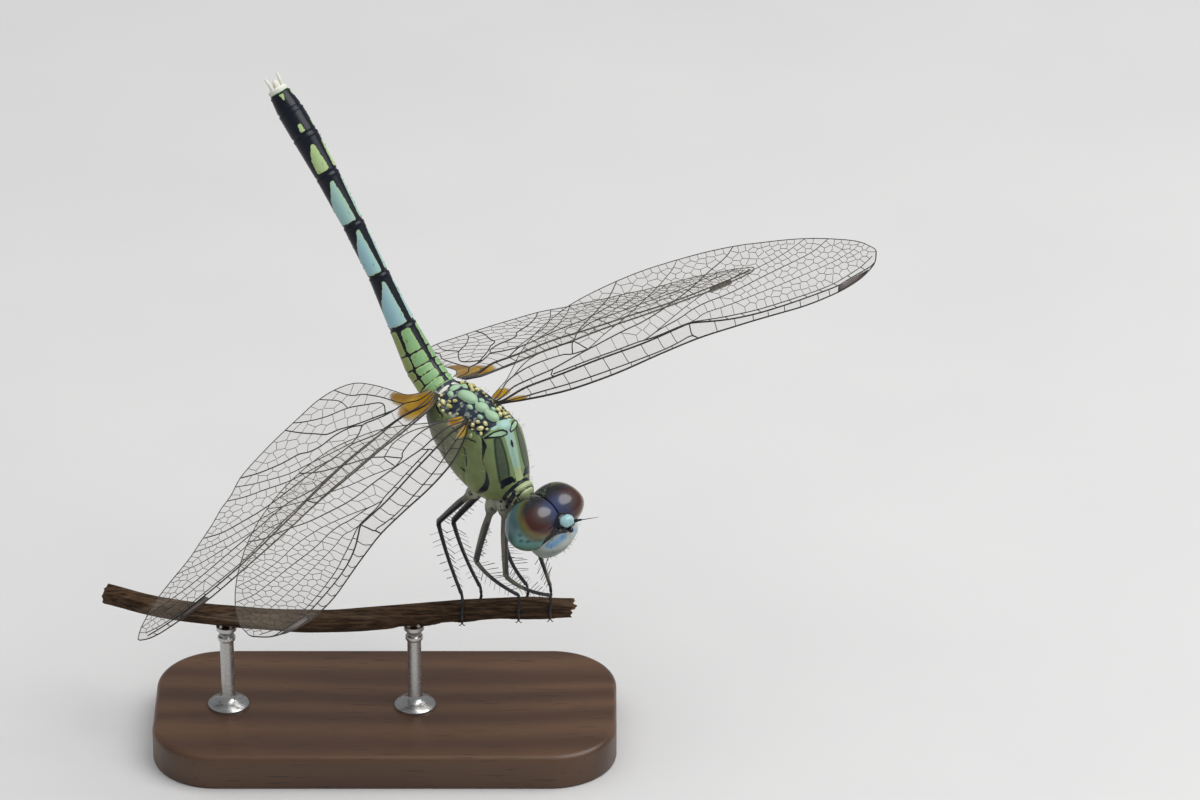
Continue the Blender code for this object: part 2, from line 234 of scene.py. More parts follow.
def piece(name, points, faces, surfaces, slot, *nodes, smooth=50):
    """Makes a finished mesh piece from points in metres and gives it to the frame."""
    mesh = bpy.data.meshes.new(name)
    mesh.from_pydata([tuple(point) for point in points], [], faces)
    tidy = bmesh.new()
    tidy.from_mesh(mesh)
    bmesh.ops.recalc_face_normals(tidy, faces=tidy.faces)
    tidy.to_mesh(mesh)
    tidy.free()
    mesh.shade_smooth()
    if smooth:
        mesh.set_sharp_from_angle(angle=math.radians(smooth))
    made = bpy.data.objects.new(name, mesh)
    bpy.context.scene.collection.objects.link(made)
    for surface in surfaces:
        mesh.materials.append(surface)
    hand_over(made, slot, *nodes)
    return made


def hand_over(made, slot, *nodes):
    """Parents a piece to the root empty and hides the nodes it stands for.
    The slot is not used.
    """
    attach(made, "root")
    if nodes:
        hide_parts(*nodes)


def mark(made, **fields):
    """Keeps a number for each point of the mesh as a named attribute."""
    for name, values in fields.items():
        field = made.data.attributes.new(name, "FLOAT", "POINT")
        field.data.foreach_set("value", np.asarray(values, np.float32).ravel())


def net(rows, columns, first=0):
    """Faces of a grid of points that closes round each row and has a cap at each end."""
    faces = []
    for r in range(rows - 1):
        for c in range(columns):
            a = first + r * columns + c
            b = first + r * columns + (c + 1) % columns
            faces.append((a, b, b + columns, a + columns))
    faces.append(tuple(range(first + columns - 1, first - 1, -1)))
    last = first + (rows - 1) * columns
    faces.append(tuple(range(last, last + columns)))
    return faces


def soften(values, reach):
    """Averages each value with its neighbours, up to the reach on both sides."""
    kernel = np.hanning(2 * reach + 3)[1:-1]
    padded = np.pad(values, reach, mode="edge")
    return np.convolve(padded, kernel / kernel.sum(), "valid")


def body_axis():
    """Station, middle, lean, half width and half height along the whole body."""
    rows = []
    for x, top, bottom, half in TRUNK_ROWS:
        rows.append((x, x, (top + bottom) / 2, 0.0, half, (top - bottom) / 2))
    x, z = TAIL_START
    station, width = x, TAIL_START_WIDTH
    lifts = [ring[1] for ring in TAIL_RINGS]
    for i, (length, lift, end_width) in enumerate(TAIL_RINGS):
        rise = math.radians(lift)
        following = lifts[min(i + 1, len(lifts) - 1)]
        for part in (0.5, 1.0):
            run = length * part
            lean = lift + (following - lift) / 2 * (part > 0.5)
            half = (width + (end_width - width) * part) / 2
            place = (x - run * math.cos(rise), z + run * math.sin(rise))
            rows.append((station - run, *place, lean, half, half * TAIL_FLATNESS))
        x, z = place
        station -= length
        width = end_width
    columns = np.array(rows).T
    along = np.arange(columns[0][0], columns[0][-1], -RING_STEP)
    spaced = [np.interp(-along, -columns[0], column) for column in columns]
    return [along] + [soften(values, 3) for values in spaced[1:]]


stations, middle_x, middle_z, lean, half_width, half_height = body_axis()
lean = np.radians(lean)
angles = np.arange(SKIN_SIDES) / SKIN_SIDES * 2 * np.pi
angles = np.where(angles > np.pi, angles - 2 * np.pi, angles)


def on_body(station, angle, lift=0.0):
    """Point on the shell at a station and an angle from its back, to its left."""
    s = -np.asarray(station, float)
    x, z, tilt, across, up = (
        np.interp(s, -stations, values)
        for values in (middle_x, middle_z, lean, half_width, half_height)
    )
    sin, cos = np.sin(angle), np.cos(angle)
    side = (across + lift) * sin
    rise = (up + lift) * cos
    return np.stack([x + rise * np.sin(tilt), side, z + rise * np.cos(tilt)], -1)


station_grid, angle_grid = np.meshgrid(stations, angles, indexing="ij")
pattern_turn = np.radians(np.interp(station_grid, [-1.95, -0.6, 0.2], [13.0, 2.0, 3.5]))
pattern_angle = angle_grid - pattern_turn
shell = on_body(station_grid, pattern_angle)
mirrored = shell * (1, 0, 1) + np.abs(shell) * (0, 1, 0)


def band(*knots):
    """Distance to a line drawn on both sides, less its half width at that place.
    A knot is a station, an angle from the back in degrees and a half width."""
    points = [on_body(s, math.radians(a)) for s, a, _ in knots]
    widths = [width for _, _, width in knots]
    nearest = np.full(station_grid.shape, FAR)
    for start, end, first, last in zip(points, points[1:], widths, widths[1:]):
        run = end - start
        t = np.clip((mirrored - start) @ run / (run @ run), 0, 1)
        reach = np.linalg.norm(mirrored - start - t[..., None] * run, axis=-1)
        nearest = np.minimum(nearest, reach - first - t * (last - first))
    return nearest


def dome(station, angle, length, width, height):
    """A rounded lump on both sides: the distance to its outline, and its lift."""
    place = on_body(station, math.radians(angle))
    away = mirrored - place
    reach = (away[..., 0] / length) ** 2
    reach = reach + (away[..., 1] ** 2 + 0.6 * away[..., 2] ** 2) / width**2
    lift = height * np.sqrt(np.clip(1 - reach, 0, 1))
    return (np.sqrt(reach) - 1) * min(length, width), lift


def step(values, low, high):
    """Rises smoothly from 0 at the low value to 1 at the high one."""
    t = np.clip((values - low) / (high - low), 0, 1)
    return t * t * (3 - 2 * t)


round_back = np.degrees(np.abs(pattern_angle))
girth = (half_width + half_height)[:, None] / 2 * np.radians(round_back)

shoulder_line = band(
    (2.6, 40, 0.05), (3.05, 46, 0.16), (3.25, 53, 0.09), (3.5, 60, 0.015), (3.9, 62, 0.02),
    (4.15, 67, 0.07), (4.4, 76, 0.15), (4.45, 90, 0.19), (4.3, 105, 0.16), (4.1, 120, 0.06),
)
flank_lines = np.minimum(
    band((1.55, 64, 0.03), (2.0, 68, 0.04), (2.5, 74, 0.05), (2.7, 81, 0.1), (2.9, 88, 0.03)),
    band((2.5, 96, 0.03), (2.75, 98, 0.09), (2.95, 101, 0.04)),
)
wing_edge = np.min([
    band((2.5, 50, 0.05), (1.7, 57, 0.06), (0.9, 59, 0.08), (0.1, 57, 0.03), (-0.7, 59, 0.07),
         (-1.3, 62, 0.03)),
    band((1.75, 56, 0.05), (2.0, 63, 0.01)),
    band((-0.3, 57, 0.06), (0.0, 66, 0.01)),
], axis=0)
rear_line = band((0.2, 62, 0.03), (0.5, 75, 0.03), (0.9, 95, 0.03), (1.4, 112, 0.05))
teardrop = band((3.3, 6, 0.1), (3.2, 13, 0.19), (3.02, 24, 0.16), (2.75, 38, 0.02))
crest = np.minimum(
    band((2.85, 0, 0.3), (3.3, 0, 0.14), (3.75, 0, 0.05)),
    band((2.85, 0, 0.16), (2.62, 20, 0.1)),
)
crest_spot = band((3.72, 0, 0.05), (3.85, 0, 0.11), (4.0, 0, 0.05))
back_stripe = band((3.45, 0, 0.36), (4.2, 0, 0.33), (5.0, 0, 0.26))
back_keel = band((3.6, 0, 0.03), (5.0, 0, 0.025))
collar_spot = band((5.02, 0, 0.27), (5.3, 0, 0.3))
shoulder = band((3.35, 24, 0.2), (3.9, 27, 0.3), (4.5, 32, 0.33), (5.0, 42, 0.3))
collar_dark = band((5.3, 20, 0.1), (5.16, 30, 0.24), (5.08, 46, 0.24), (5.16, 60, 0.1))
station_column = stations[:, None]
saddle = np.maximum(station_column - 2.62, -1.97 - station_column)
saddle = np.maximum(saddle, (round_back - 50 + 4 * station_column) * 0.035)
lumps = [
    dome(-0.2, 0, 0.8, 0.47, 0.36), dome(0.98, 0, 0.47, 0.42, 0.3),
    dome(1.86, 0, 0.5, 0.4, 0.3), dome(2.8, 0, 0.45, 0.45, 0.12),
    dome(0.5, 15, 0.22, 0.15, 0.14), dome(-1.3, 0, 0.22, 0.5, 0.14),
    dome(-1.05, 22, 0.26, 0.2, 0.18), dome(1.45, 17, 0.2, 0.14, 0.14),
]
lump_edge = np.min([edge for edge, _ in lumps], axis=0)
back_lumps = np.max([lift for _, lift in lumps], axis=0)
notum_parts = [dome(5.84, 15, 0.2, 0.42, 0.15), dome(6.27, 15, 0.15, 0.32, 0.12)]
notum_edge = np.min([edge for edge, _ in notum_parts], axis=0)
notum = np.max([lift for _, lift in notum_parts], axis=0)

ring_starts = TAIL_START[0] - np.cumsum([0] + [ring[0] for ring in TAIL_RINGS])
ring_number = np.searchsorted(-ring_starts, -stations, side="right") - 1
ring_number = np.clip(ring_number, -1, len(TAIL_RINGS) - 1)
on_tail = stations < TAIL_START[0]
tail = on_tail[:, None]
ring_length = np.array([ring[0] for ring in TAIL_RINGS])[ring_number]
ring_part = np.where(on_tail, (ring_starts[ring_number] - stations) / ring_length, 0.0)

swell = -SADDLE_DEPTH * step(-saddle, 0.0, 0.3) + back_lumps + notum
swell -= LINE_DEPTH * step(-np.minimum(shoulder_line, flank_lines), -0.08, 0.02)
side_seams = np.minimum(
    band((1.9, 56, 0.0), (2.4, 76, 0.0), (2.9, 98, 0.0), (3.2, 125, 0.0)),
    band((-0.4, 58, 0.0), (0.3, 76, 0.0), (1.1, 98, 0.0), (1.6, 125, 0.0)),
)
swell -= SUTURE_DEPTH * step(-side_seams, -0.16, 0.0)
swell += RIM_RISE * step(-np.abs(teardrop), -0.06, 0.0)
swell += KEEL_RISE * step(-back_keel, -0.08, 0.0)
seam = np.where(on_tail, np.minimum(ring_part, 1 - ring_part) * ring_length, 1.0)
swell -= (RING_DEPTH * (1 - step(seam, 0.02, 0.12)))[:, None]
lip = np.where(on_tail, (1 - ring_part) * ring_length, 1.0)
swell += (RING_LIP * (step(lip, 0.04, 0.1) - step(lip, 0.1, 0.3)))[:, None]
swell += (TAIL_KEEL * on_tail)[:, None] * step(-girth, -0.07, 0.0)
close = np.minimum(1, (stations - stations[-1]) / 0.16 + 0.35)
shell = on_body(station_grid, angle_grid, swell)
centre = np.stack([middle_x, 0 * middle_x, middle_z], -1)[:, None]
shell = centre + (shell - centre) * close[:, None, None]


CORNER_ROUND = 0.06


def pale_field(ring, first, last, top, bottom):
    """Distance to a pale field on each side of one ring of the tail. It lies between
    two parts of the ring's length and two angles, given as pairs of part and angle."""
    part = ring_part[:, None]
    radius = np.radians(half_width)[:, None]
    lowest = np.interp(part, *zip(*top))
    highest = np.interp(part, *zip(*bottom))
    sides = ((round_back - lowest) * radius, (highest - round_back) * radius)
    ends = ((part - first) * ring_length[:, None], (last - part) * ring_length[:, None])
    gaps = [np.exp(-np.minimum(gap, 3) / CORNER_ROUND) for gap in (*sides, *ends)]
    inside = -CORNER_ROUND * np.log(sum(gaps))
    return np.where((ring_number == ring)[:, None] & tail, -inside, FAR)


everywhere = np.ones_like(swell)
green_fields = np.min([
    pale_field(0, 0.1, 0.9, [(0, 8), (1, 9)], [(0, 150), (1, 150)]),
    pale_field(1, 0.03, 0.49, [(0, 7), (1, 9)], [(0, 68), (1, 70)]),
    pale_field(1, 0.03, 0.49, [(0, 74), (1, 77)], [(0, 140), (1, 130)]),
    pale_field(1, 0.54, 0.97, [(0, 8), (1, 10)], [(0, 68), (1, 70)]),
    pale_field(1, 0.54, 0.97, [(0, 75), (1, 79)], [(0, 140), (1, 130)]),
    pale_field(2, 0.02, 0.34, [(0, 9), (1, 12)], [(0, 66), (0.4, 64)]),
    pale_field(2, 0.02, 0.34, [(0, 72), (1, 74)], [(0, 130), (1, 120)]),
    pale_field(2, 0.38, 0.93, [(0, 11), (0.8, 17)], [(0.4, 68), (0.9, 60)]),
    pale_field(2, 0.38, 0.96, [(0, 76), (1, 80)], [(0, 130), (1, 108)]),
], axis=0)
long_top = [(0, 13), (0.5, 20), (0.86, 27)]
long_foot = [(0, 132), (0.35, 116), (0.55, 88), (0.72, 60), (0.87, 42)]
blue_fields = [pale_field(ring, 0.04, 0.87, long_top, long_foot) for ring in (3, 4, 5)]
blue_fields = np.min(blue_fields, axis=0)
yellow_fields = np.min([
    pale_field(6, 0.08, 0.74, [(0, 14), (0.7, 24)], [(0, 84), (0.4, 74), (0.75, 40)]),
    pale_field(7, 0.1, 0.42, [(0, 28), (1, 30)], [(0, 56), (0.4, 46)]),
    pale_field(8, 0.46, 0.9, [(0.4, 34), (0.9, 24)], [(0.4, 38), (0.9, 52)]),
], axis=0)
white_end = np.where((ring_number == 9)[:, None], -0.2, FAR) * everywhere
tail_pale = np.min([green_fields, blue_fields, yellow_fields, white_end], axis=0)

neck_gap = np.abs(station_column - 5.55) - 0.1
neck_dark = np.minimum(neck_gap, 6.46 - station_column) * everywhere
lobe_line = np.maximum(np.abs(station_column - 6.08) - 0.035, (round_back - 55) * 0.02)
trunk_black = np.min([
    shoulder_line, flank_lines, wing_edge, rear_line, crest_spot, collar_dark, neck_dark,
    lobe_line, band((5.9, 55, 0.12), (5.9, 90, 0.2)), np.abs(collar_spot) - 0.015,
], axis=0)
black = np.where(tail, -tail_pale, trunk_black)
membrane = band((-1.68, 8, 0.07), (-1.62, 25, 0.16), (-1.6, 48, 0.1))
pale = np.min([crest, back_stripe, teardrop, lump_edge], axis=0)
pale = np.where(tail, np.minimum(blue_fields, white_end), pale)
yellow = np.min([collar_spot, notum_edge, yellow_fields], axis=0)
neck = step(station_column, 5.45, 5.6) * everywhere
# Painted shade: the lower flanks of the rear thorax are darkened.
flank_shade = step(round_back, 52, 86) * step(-station_column, -3.0, -1.0)
fresh = np.maximum(tail * 1.0, 0.35 * step(-round_back, -60, -20))
blue_tail = 0.78 - 0.3 * (ring_number == 5)[:, None] + 0.22 * step(round_back, 25, 80)
blueness = np.where(tail, blue_tail, 0.0)
blueness = np.maximum(blueness, step(-crest, -0.1, 0.05) * 0.5)
blueness = np.maximum(blueness, step(-back_stripe, -0.1, 0.05) * 0.3)

# Markings on shell are laid over one another with one group: it turns a distance
# into a mask whose edge is a little uneven, as pigment is.
marking = bpy.data.node_groups.new("marking", "ShaderNodeTree")
for socket, start in (("Distance", 0.0), ("Edge", 0.02), ("Unevenness", 0.04)):
    made = marking.interface.new_socket(socket, in_out="INPUT", socket_type="NodeSocketFloat")
    made.default_value = start
marking.interface.new_socket("Mask", in_out="OUTPUT", socket_type="NodeSocketFloat")
inside = marking.nodes.new("NodeGroupInput")
outside = marking.nodes.new("NodeGroupOutput")
shift = maths(marking, "SUBTRACT", noise(marking, 5200.0), 0.5)
shift = maths(marking, "MULTIPLY", shift, inside.outputs["Unevenness"])
shifted = maths(marking, "ADD", inside.outputs["Distance"], shift)
minus_edge = maths(marking, "MULTIPLY", inside.outputs["Edge"], -1.0)
marked = blend_range(marking, shifted, inside.outputs["Edge"], minus_edge)
marking.links.new(marked, outside.inputs["Mask"])

# Insect shell has a fine pitted grain, with a slow drift in tone.
shell_grain = bpy.data.node_groups.new("shell_grain", "ShaderNodeTree")
made = shell_grain.interface.new_socket("Pitch", in_out="INPUT", socket_type="NodeSocketFloat")
made.default_value = 0.05
for socket in ("Pits", "Drift"):
    shell_grain.interface.new_socket(socket, in_out="OUTPUT", socket_type="NodeSocketFloat")
inside = shell_grain.nodes.new("NodeGroupInput")
outside = shell_grain.nodes.new("NodeGroupOutput")
fineness = maths(shell_grain, "DIVIDE", 1000.0, inside.outputs["Pitch"])
place = object_place(shell_grain)
pits = grow(shell_grain, "TexVoronoi", {"Vector": place, "Scale": fineness})
slow = maths(shell_grain, "MULTIPLY", fineness, 0.07)
drift = grow(shell_grain, "TexNoise", {"Vector": place, "Scale": slow, "Detail": 3.0})
shell_grain.links.new(pits.outputs["Distance"], outside.inputs["Pits"])
shell_grain.links.new(drift.outputs["Fac"], outside.inputs["Drift"])


def grouped(tree, group, **inputs):
    made = tree.nodes.new("ShaderNodeGroup")
    made.node_tree = group
    for key, value in inputs.items():
        if isinstance(value, bpy.types.NodeSocket):
            tree.links.new(value, made.inputs[key])
        else:
            made.inputs[key].default_value = value
    return made


def kept(tree, name):
    """The attribute of that name, as a number."""
    return grow(tree, "Attribute", attribute_name=name).outputs["Fac"]


def marked_by(tree, name, edge=0.02, unevenness=0.05):
    inputs = {"Distance": kept(tree, name), "Edge": edge, "Unevenness": unevenness}
    return grouped(tree, marking, **inputs).outputs["Mask"]


body_shell, tree, shader = new_material("body_shell", IOR=1.36)
grain = grouped(tree, shell_grain, Pitch=0.045)
drift = grain.outputs["Drift"]
olive_green = layer(tree, drift, rgb(0.12, 0.16, 0.055), rgb(0.22, 0.265, 0.105))
shaded_flank_green = layer(tree, drift, rgb(0.032, 0.046, 0.014), rgb(0.06, 0.075, 0.024))
fresh_green = layer(tree, drift, rgb(0.17, 0.36, 0.16), rgb(0.29, 0.45, 0.22))
# The painted shade on the lower rear flank.
colour = layer(tree, kept(tree, "flank_shade"), olive_green, shaded_flank_green)
sallow = layer(tree, kept(tree, "low"), fresh_green, rgb(0.27, 0.33, 0.1))
colour = layer(tree, kept(tree, "fresh"), colour, sallow)
pepper = blend_range(tree, grain.outputs["Pits"], 0.25, 0.5)
shoulder_tone = layer(tree, pepper, rgb(0.02, 0.03, 0.02), rgb(0.085, 0.115, 0.065))
colour = layer(tree, marked_by(tree, "shoulder", 0.05, 0.1), colour, shoulder_tone)
shoulder_rim = maths(tree, "ABSOLUTE", kept(tree, "shoulder"))
shoulder_rim = blend_range(tree, shoulder_rim, 0.12, 0.02)
shoulder_rim = maths(tree, "MULTIPLY", shoulder_rim, 0.8)
colour = layer(tree, shoulder_rim, colour, rgb(0.012, 0.018, 0.014))
collar_mottle = blend_range(tree, noise(tree, 3400.0), 0.48, 0.56)
collar_tone = layer(tree, collar_mottle, rgb(0.02, 0.026, 0.03), rgb(0.36, 0.38, 0.2))
colour = layer(tree, kept(tree, "neck"), colour, collar_tone)
seam_line = blend_range(tree, kept(tree, "side_seams"), 0.05, 0.015)
seam_line = maths(tree, "MULTIPLY", seam_line, 0.7)
colour = layer(tree, seam_line, colour, rgb(0.016, 0.022, 0.008))
clots = blend_range(tree, noise(tree, 2600.0), 0.52, 0.66)
ground_tone = layer(tree, clots, rgb(0.018, 0.026, 0.04), rgb(0.2, 0.22, 0.2))
colour = layer(tree, marked_by(tree, "ground", 0.05, 0.2), colour, ground_tone)
pale_tone = layer(tree, kept(tree, "blueness"), rgb(0.32, 0.47, 0.31), rgb(0.3, 0.5, 0.56))
colour = layer(tree, marked_by(tree, "pale"), colour, pale_tone)
white_tone = layer(tree, drift, rgb(0.55, 0.56, 0.5), rgb(0.75, 0.74, 0.68))
colour = layer(tree, marked_by(tree, "white"), colour, white_tone)
tail_yellow = layer(tree, drift, rgb(0.3, 0.46, 0.18), rgb(0.44, 0.53, 0.28))
collar_yellow = layer(tree, drift, rgb(0.36, 0.4, 0.22), rgb(0.5, 0.54, 0.34))
yellow_tone = layer(tree, kept(tree, "fresh"), collar_yellow, tail_yellow)
colour = layer(tree, marked_by(tree, "yellow"), colour, yellow_tone)
glow = blend_range(tree, kept(tree, "black"), 0.16, 0.03)
glow = maths(tree, "MULTIPLY", glow, kept(tree, "fresh"))
colour = layer(tree, maths(tree, "MULTIPLY", glow, 0.3), colour, rgb(0.42, 0.5, 0.16))
ragged = maths(tree, "MULTIPLY_ADD", kept(tree, "fresh"), 0.11, 0.06)
blacks = marked_by(tree, "black", 0.018, ragged)
rim = maths(tree, "ABSOLUTE", kept(tree, "teardrop"))
rim = maths(tree, "SUBTRACT", rim, 0.05)
rim = grouped(tree, marking, Distance=rim, Unevenness=0.02).outputs["Mask"]
blacks = maths(tree, "MAXIMUM", blacks, rim)
ink = layer(tree, drift, rgb(0.003, 0.004, 0.007), rgb(0.009, 0.012, 0.022))
colour = layer(tree, blacks, colour, ink)
gloss = blend_range(tree, blacks, 0.0, 1.0, 0.45, 0.3)
feed(tree, shader, Base_Color=colour, Roughness=gloss)
feed(tree, shader, Normal=relief(tree, grain.outputs["Pits"], 0.006, 0.5))

body = piece(
    "body_shell", in_room(shell.reshape(-1, 3)), net(len(stations), SKIN_SIDES),
    [body_shell], "thorax_green", "thorax", "prothorax",
    *(f"abdomen_{i:02d}" for i in range(1, 11)), smooth=0,
)
mark(
    body, black=black, pale=pale, yellow=yellow, ground=np.where(tail, FAR, saddle),
    side_seams=np.where(tail, FAR, side_seams), shoulder=np.where(tail, FAR, shoulder),
    white=np.minimum(white_end, np.where(tail, FAR, membrane)), flank_shade=flank_shade,
    fresh=fresh, blueness=blueness, neck=neck, low=step(round_back, 55, 95),
    teardrop=np.where(tail, FAR, teardrop),
)


# The tail's tip: two white spikes with a shorter plate between them, set into the
# last ring. Each is a tapered tube.
def sweep(points, radii, sides=12, flat=1.0, across=(0.0, 1.0, 0.0)):
    """Points and faces of a tube along a path, flattened across one direction."""
    points = np.asarray(points, float)
    runs = np.gradient(points, axis=0)
    runs /= np.linalg.norm(runs, axis=1)[:, None]
    wide = np.cross(runs, np.cross(np.asarray(across, float), runs))
    wide /= np.linalg.norm(wide, axis=1)[:, None] + 1e-9
    thin = np.cross(runs, wide)
    turn = np.arange(sides) / sides * 2 * np.pi
    ring = np.cos(turn)[None, :, None] * wide[:, None]
    ring = ring + flat * np.sin(turn)[None, :, None] * thin[:, None]
    radii = np.asarray(radii, float)[:, None, None]
    return (points[:, None] + radii * ring).reshape(-1, 3), net(len(points), sides)


def spline(knots, count):
    """Points evenly spaced in knot number on a smooth curve through knots."""
    knots = np.asarray(knots, float)
    padded = np.vstack([2 * knots[0] - knots[1], knots, 2 * knots[-1] - knots[-2]])
    place = np.linspace(0, len(knots) - 1, count)
    k = np.minimum(place.astype(int), len(knots) - 2)
    t = (place - k)[:, None]
    a, b, c, d = padded[k], padded[k + 1], padded[k + 2], padded[k + 3]
    curve = 2 * b + (c - a) * t + (2 * a - 5 * b + 4 * c - d) * t**2
    return (curve + (3 * b - a - 3 * c + d) * t**3) / 2


tail_white, tree, shader = new_material("tail_white", Roughness=0.5)
grain = grouped(tree, shell_grain, Pitch=0.05)
tone = layer(tree, grain.outputs["Drift"], rgb(0.52, 0.5, 0.42), rgb(0.78, 0.76, 0.68))
feed(tree, shader, Base_Color=tone, Normal=relief(tree, grain.outputs["Pits"], 0.015))

last_middle = np.array([middle_x[-1], 0, middle_z[-1]])
tail_run = np.array([-math.cos(lean[-1]), 0, math.sin(lean[-1])])
tail_up = np.array([math.sin(lean[-1]), 0, math.cos(lean[-1])])
for name, side, length, radius, *nodes in (
    ("cercus_left_tip", 1, 0.8, 0.12, "cercus_left"),
    ("cercus_right_tip", -1, 0.8, 0.12, "cercus_right"),
    ("tail_plate", 0, 0.45, 0.24),
):
    across = np.array([0, 1.0, 0]) * side
    path = spline(
        [
            last_middle + 0.36 * across - 0.15 * tail_run + 0.12 * tail_up,
            last_middle + 0.42 * across + 0.5 * length * tail_run + 0.2 * tail_up,
            last_middle + 0.47 * across + length * tail_run + 0.16 * tail_up,
        ],
        14,
    )
    radii = radius * np.sqrt(np.clip(1.02 - np.linspace(0, 1, 14) ** 2.4, 0.02, 1))
    points, faces = sweep(path, radii, 12, 0.75)
    piece(name, in_room(points), faces, [tail_white], "cream", *nodes)


# The wing hinges: a crowd of small cream and yellow plates on each side, loose in the
# black skin between the wings. Each is a rounded grain planted by a geometry tree.
def new_growth(name, *inputs):
    """A geometry tree with named inputs, its mesh socket first. An input is a name, a
    type and a start value."""
    tree = bpy.data.node_groups.new(name, "GeometryNodeTree")
    tree.interface.new_socket("Host", in_out="INPUT", socket_type="NodeSocketGeometry")
    for socket, kind, start in inputs:
        made = tree.interface.new_socket(socket, in_out="INPUT", socket_type="NodeSocket" + kind)
        if start is not None:
            made.default_value = start
    tree.interface.new_socket("Growth", in_out="OUTPUT", socket_type="NodeSocketGeometry")
    return tree, tree.nodes.new("NodeGroupInput").outputs


def end_growth(tree, geometry, surface):
    """Ends a geometry tree: real, smooth mesh with its material."""
    whole = grow(tree, "GeometryNodeRealizeInstances", {0: geometry}).outputs[0]
    smooth = grow(tree, "GeometryNodeSetShadeSmooth", {0: whole}).outputs[0]
    finish = {0: smooth, "Material": surface}
    finished = grow(tree, "GeometryNodeSetMaterial", finish).outputs[0]
    grow(tree, "NodeGroupOutput", {0: finished})


def host_mesh(points, edges=(), faces=(), **fields):
    """A helper mesh in metres for a geometry tree, with numbers kept at its points."""
    mesh = bpy.data.meshes.new("host")
    mesh.from_pydata([tuple(point) for point in points], list(edges), list(faces))
    for name, values in fields.items():
        values = np.asarray(values, np.float32)
        kind = "FLOAT_VECTOR" if values.ndim == 2 else "FLOAT"
        kept_there = mesh.attributes.new(name, kind, "POINT")
        kept_there.data.foreach_set("vector" if values.ndim == 2 else "value", values.ravel())
    return mesh


def grown(name, host, tree, slot, **inputs):
    """Runs a geometry tree on a host mesh and keeps the result as a plain mesh."""
    made = bpy.data.objects.new(name, host)
    bpy.context.scene.collection.objects.link(made)
    growth = made.modifiers.new("growth", "NODES")
    growth.node_group = tree
    for socket in tree.interface.items_tree:
        if socket.item_type == "SOCKET" and socket.name in inputs:
            growth[socket.identifier] = inputs[socket.name]
    graph = bpy.context.evaluated_depsgraph_get()
    mesh = bpy.data.meshes.new_from_object(made.evaluated_get(graph))
    made.modifiers.remove(growth)
    made.data = mesh
    hand_over(made, slot)
    return made


def kept_at(tree, name, data_type="FLOAT"):
    """The host mesh's attribute of that name, inside a geometry tree."""
    named = {"data_type": data_type}
    return grow(tree, "GeometryNodeInputNamedAttribute", {0: name}, **named).outputs[0]


hinge_plate, tree, shader = new_material("hinge_plate", Roughness=0.4)
grain = grouped(tree, shell_grain, Pitch=0.5)
tone = layer(tree, grain.outputs["Pits"], rgb(0.72, 0.7, 0.4), rgb(0.42, 0.36, 0.1))
feed(tree, shader, Base_Color=tone, Normal=relief(tree, grain.outputs["Pits"], 0.01))

grains, given = new_growth("grains", ("Seed", "Int", 3), ("Plumpness", "Float", 0.7))
spots = grow(grains, "GeometryNodeMeshToPoints", {0: given["Host"]}).outputs[0]
grain_ball = grow(grains, "GeometryNodeMeshIcoSphere", {"Radius": 1.0, "Subdivisions": 3})
ripple = grow(grains, "TexNoise", {"Scale": 1.4}, noise_dimensions="3D").outputs["Color"]
ripple = grow(grains, "VectorMath", {0: ripple, 1: (0.5, 0.5, 0.5)}, operation="SUBTRACT")
ripple = grow(grains, "VectorMath", {0: ripple.outputs[0], "Scale": 0.85}, operation="SCALE")
uneven = {0: grain_ball.outputs[0], "Offset": ripple.outputs[0]}
uneven = grow(grains, "GeometryNodeSetPosition", uneven).outputs[0]
size = kept_at(grains, "size")
low = grow(grains, "CombineXYZ", {0: 1.0, 1: given["Plumpness"], 2: given["Plumpness"]})
size = grow(grains, "VectorMath", {0: low.outputs[0], "Scale": size}, operation="SCALE")
turned = {0: (0.0, 0.0, 0.0), 1: (0.9, 0.9, 6.28), "Seed": given["Seed"]}
turned = grow(grains, "FunctionNodeRandomValue", turned, data_type="FLOAT_VECTOR")
planted = {"Points": spots, "Instance": uneven, "Scale": size.outputs[0]}
planted["Rotation"] = turned.outputs[0]
planted = grow(grains, "GeometryNodeInstanceOnPoints", planted).outputs[0]
end_growth(grains, planted, hinge_plate)

HINGE_GRAINS = (
    (1.57, 32, 0.19), (1.65, 23, 0.15), (2.04, 17, 0.17), (2.08, 28, 0.21),
    (1.2, 44, 0.17), (1.5, 48, 0.16), (2.0, 45, 0.2), (1.75, 38, 0.12), (2.35, 33, 0.13),
    (1.3, 30, 0.11), (0.9, 37, 0.12), (2.4, 22, 0.12),
    (-0.9, 40, 0.2), (-0.4, 36, 0.18), (-0.9, 50, 0.2), (-0.45, 50, 0.16),
    (-0.42, 22, 0.16), (-1.3, 44, 0.13), (-1.35, 34, 0.14), (0.0, 44, 0.13),
    (-0.65, 30, 0.12), (0.35, 36, 0.11), (-1.45, 56, 0.13),
)
hinge_points = np.array([
    on_body(s, side * math.radians(a), -0.1) for s, a, _ in HINGE_GRAINS for side in (-1, 1)
])
hinge_sizes = np.repeat([size * MM for _, _, size in HINGE_GRAINS], 2)
host = host_mesh(in_room(hinge_points), size=hinge_sizes)
grown("hinge_plates", host, grains, "cream", Seed=7, Plumpness=0.72)


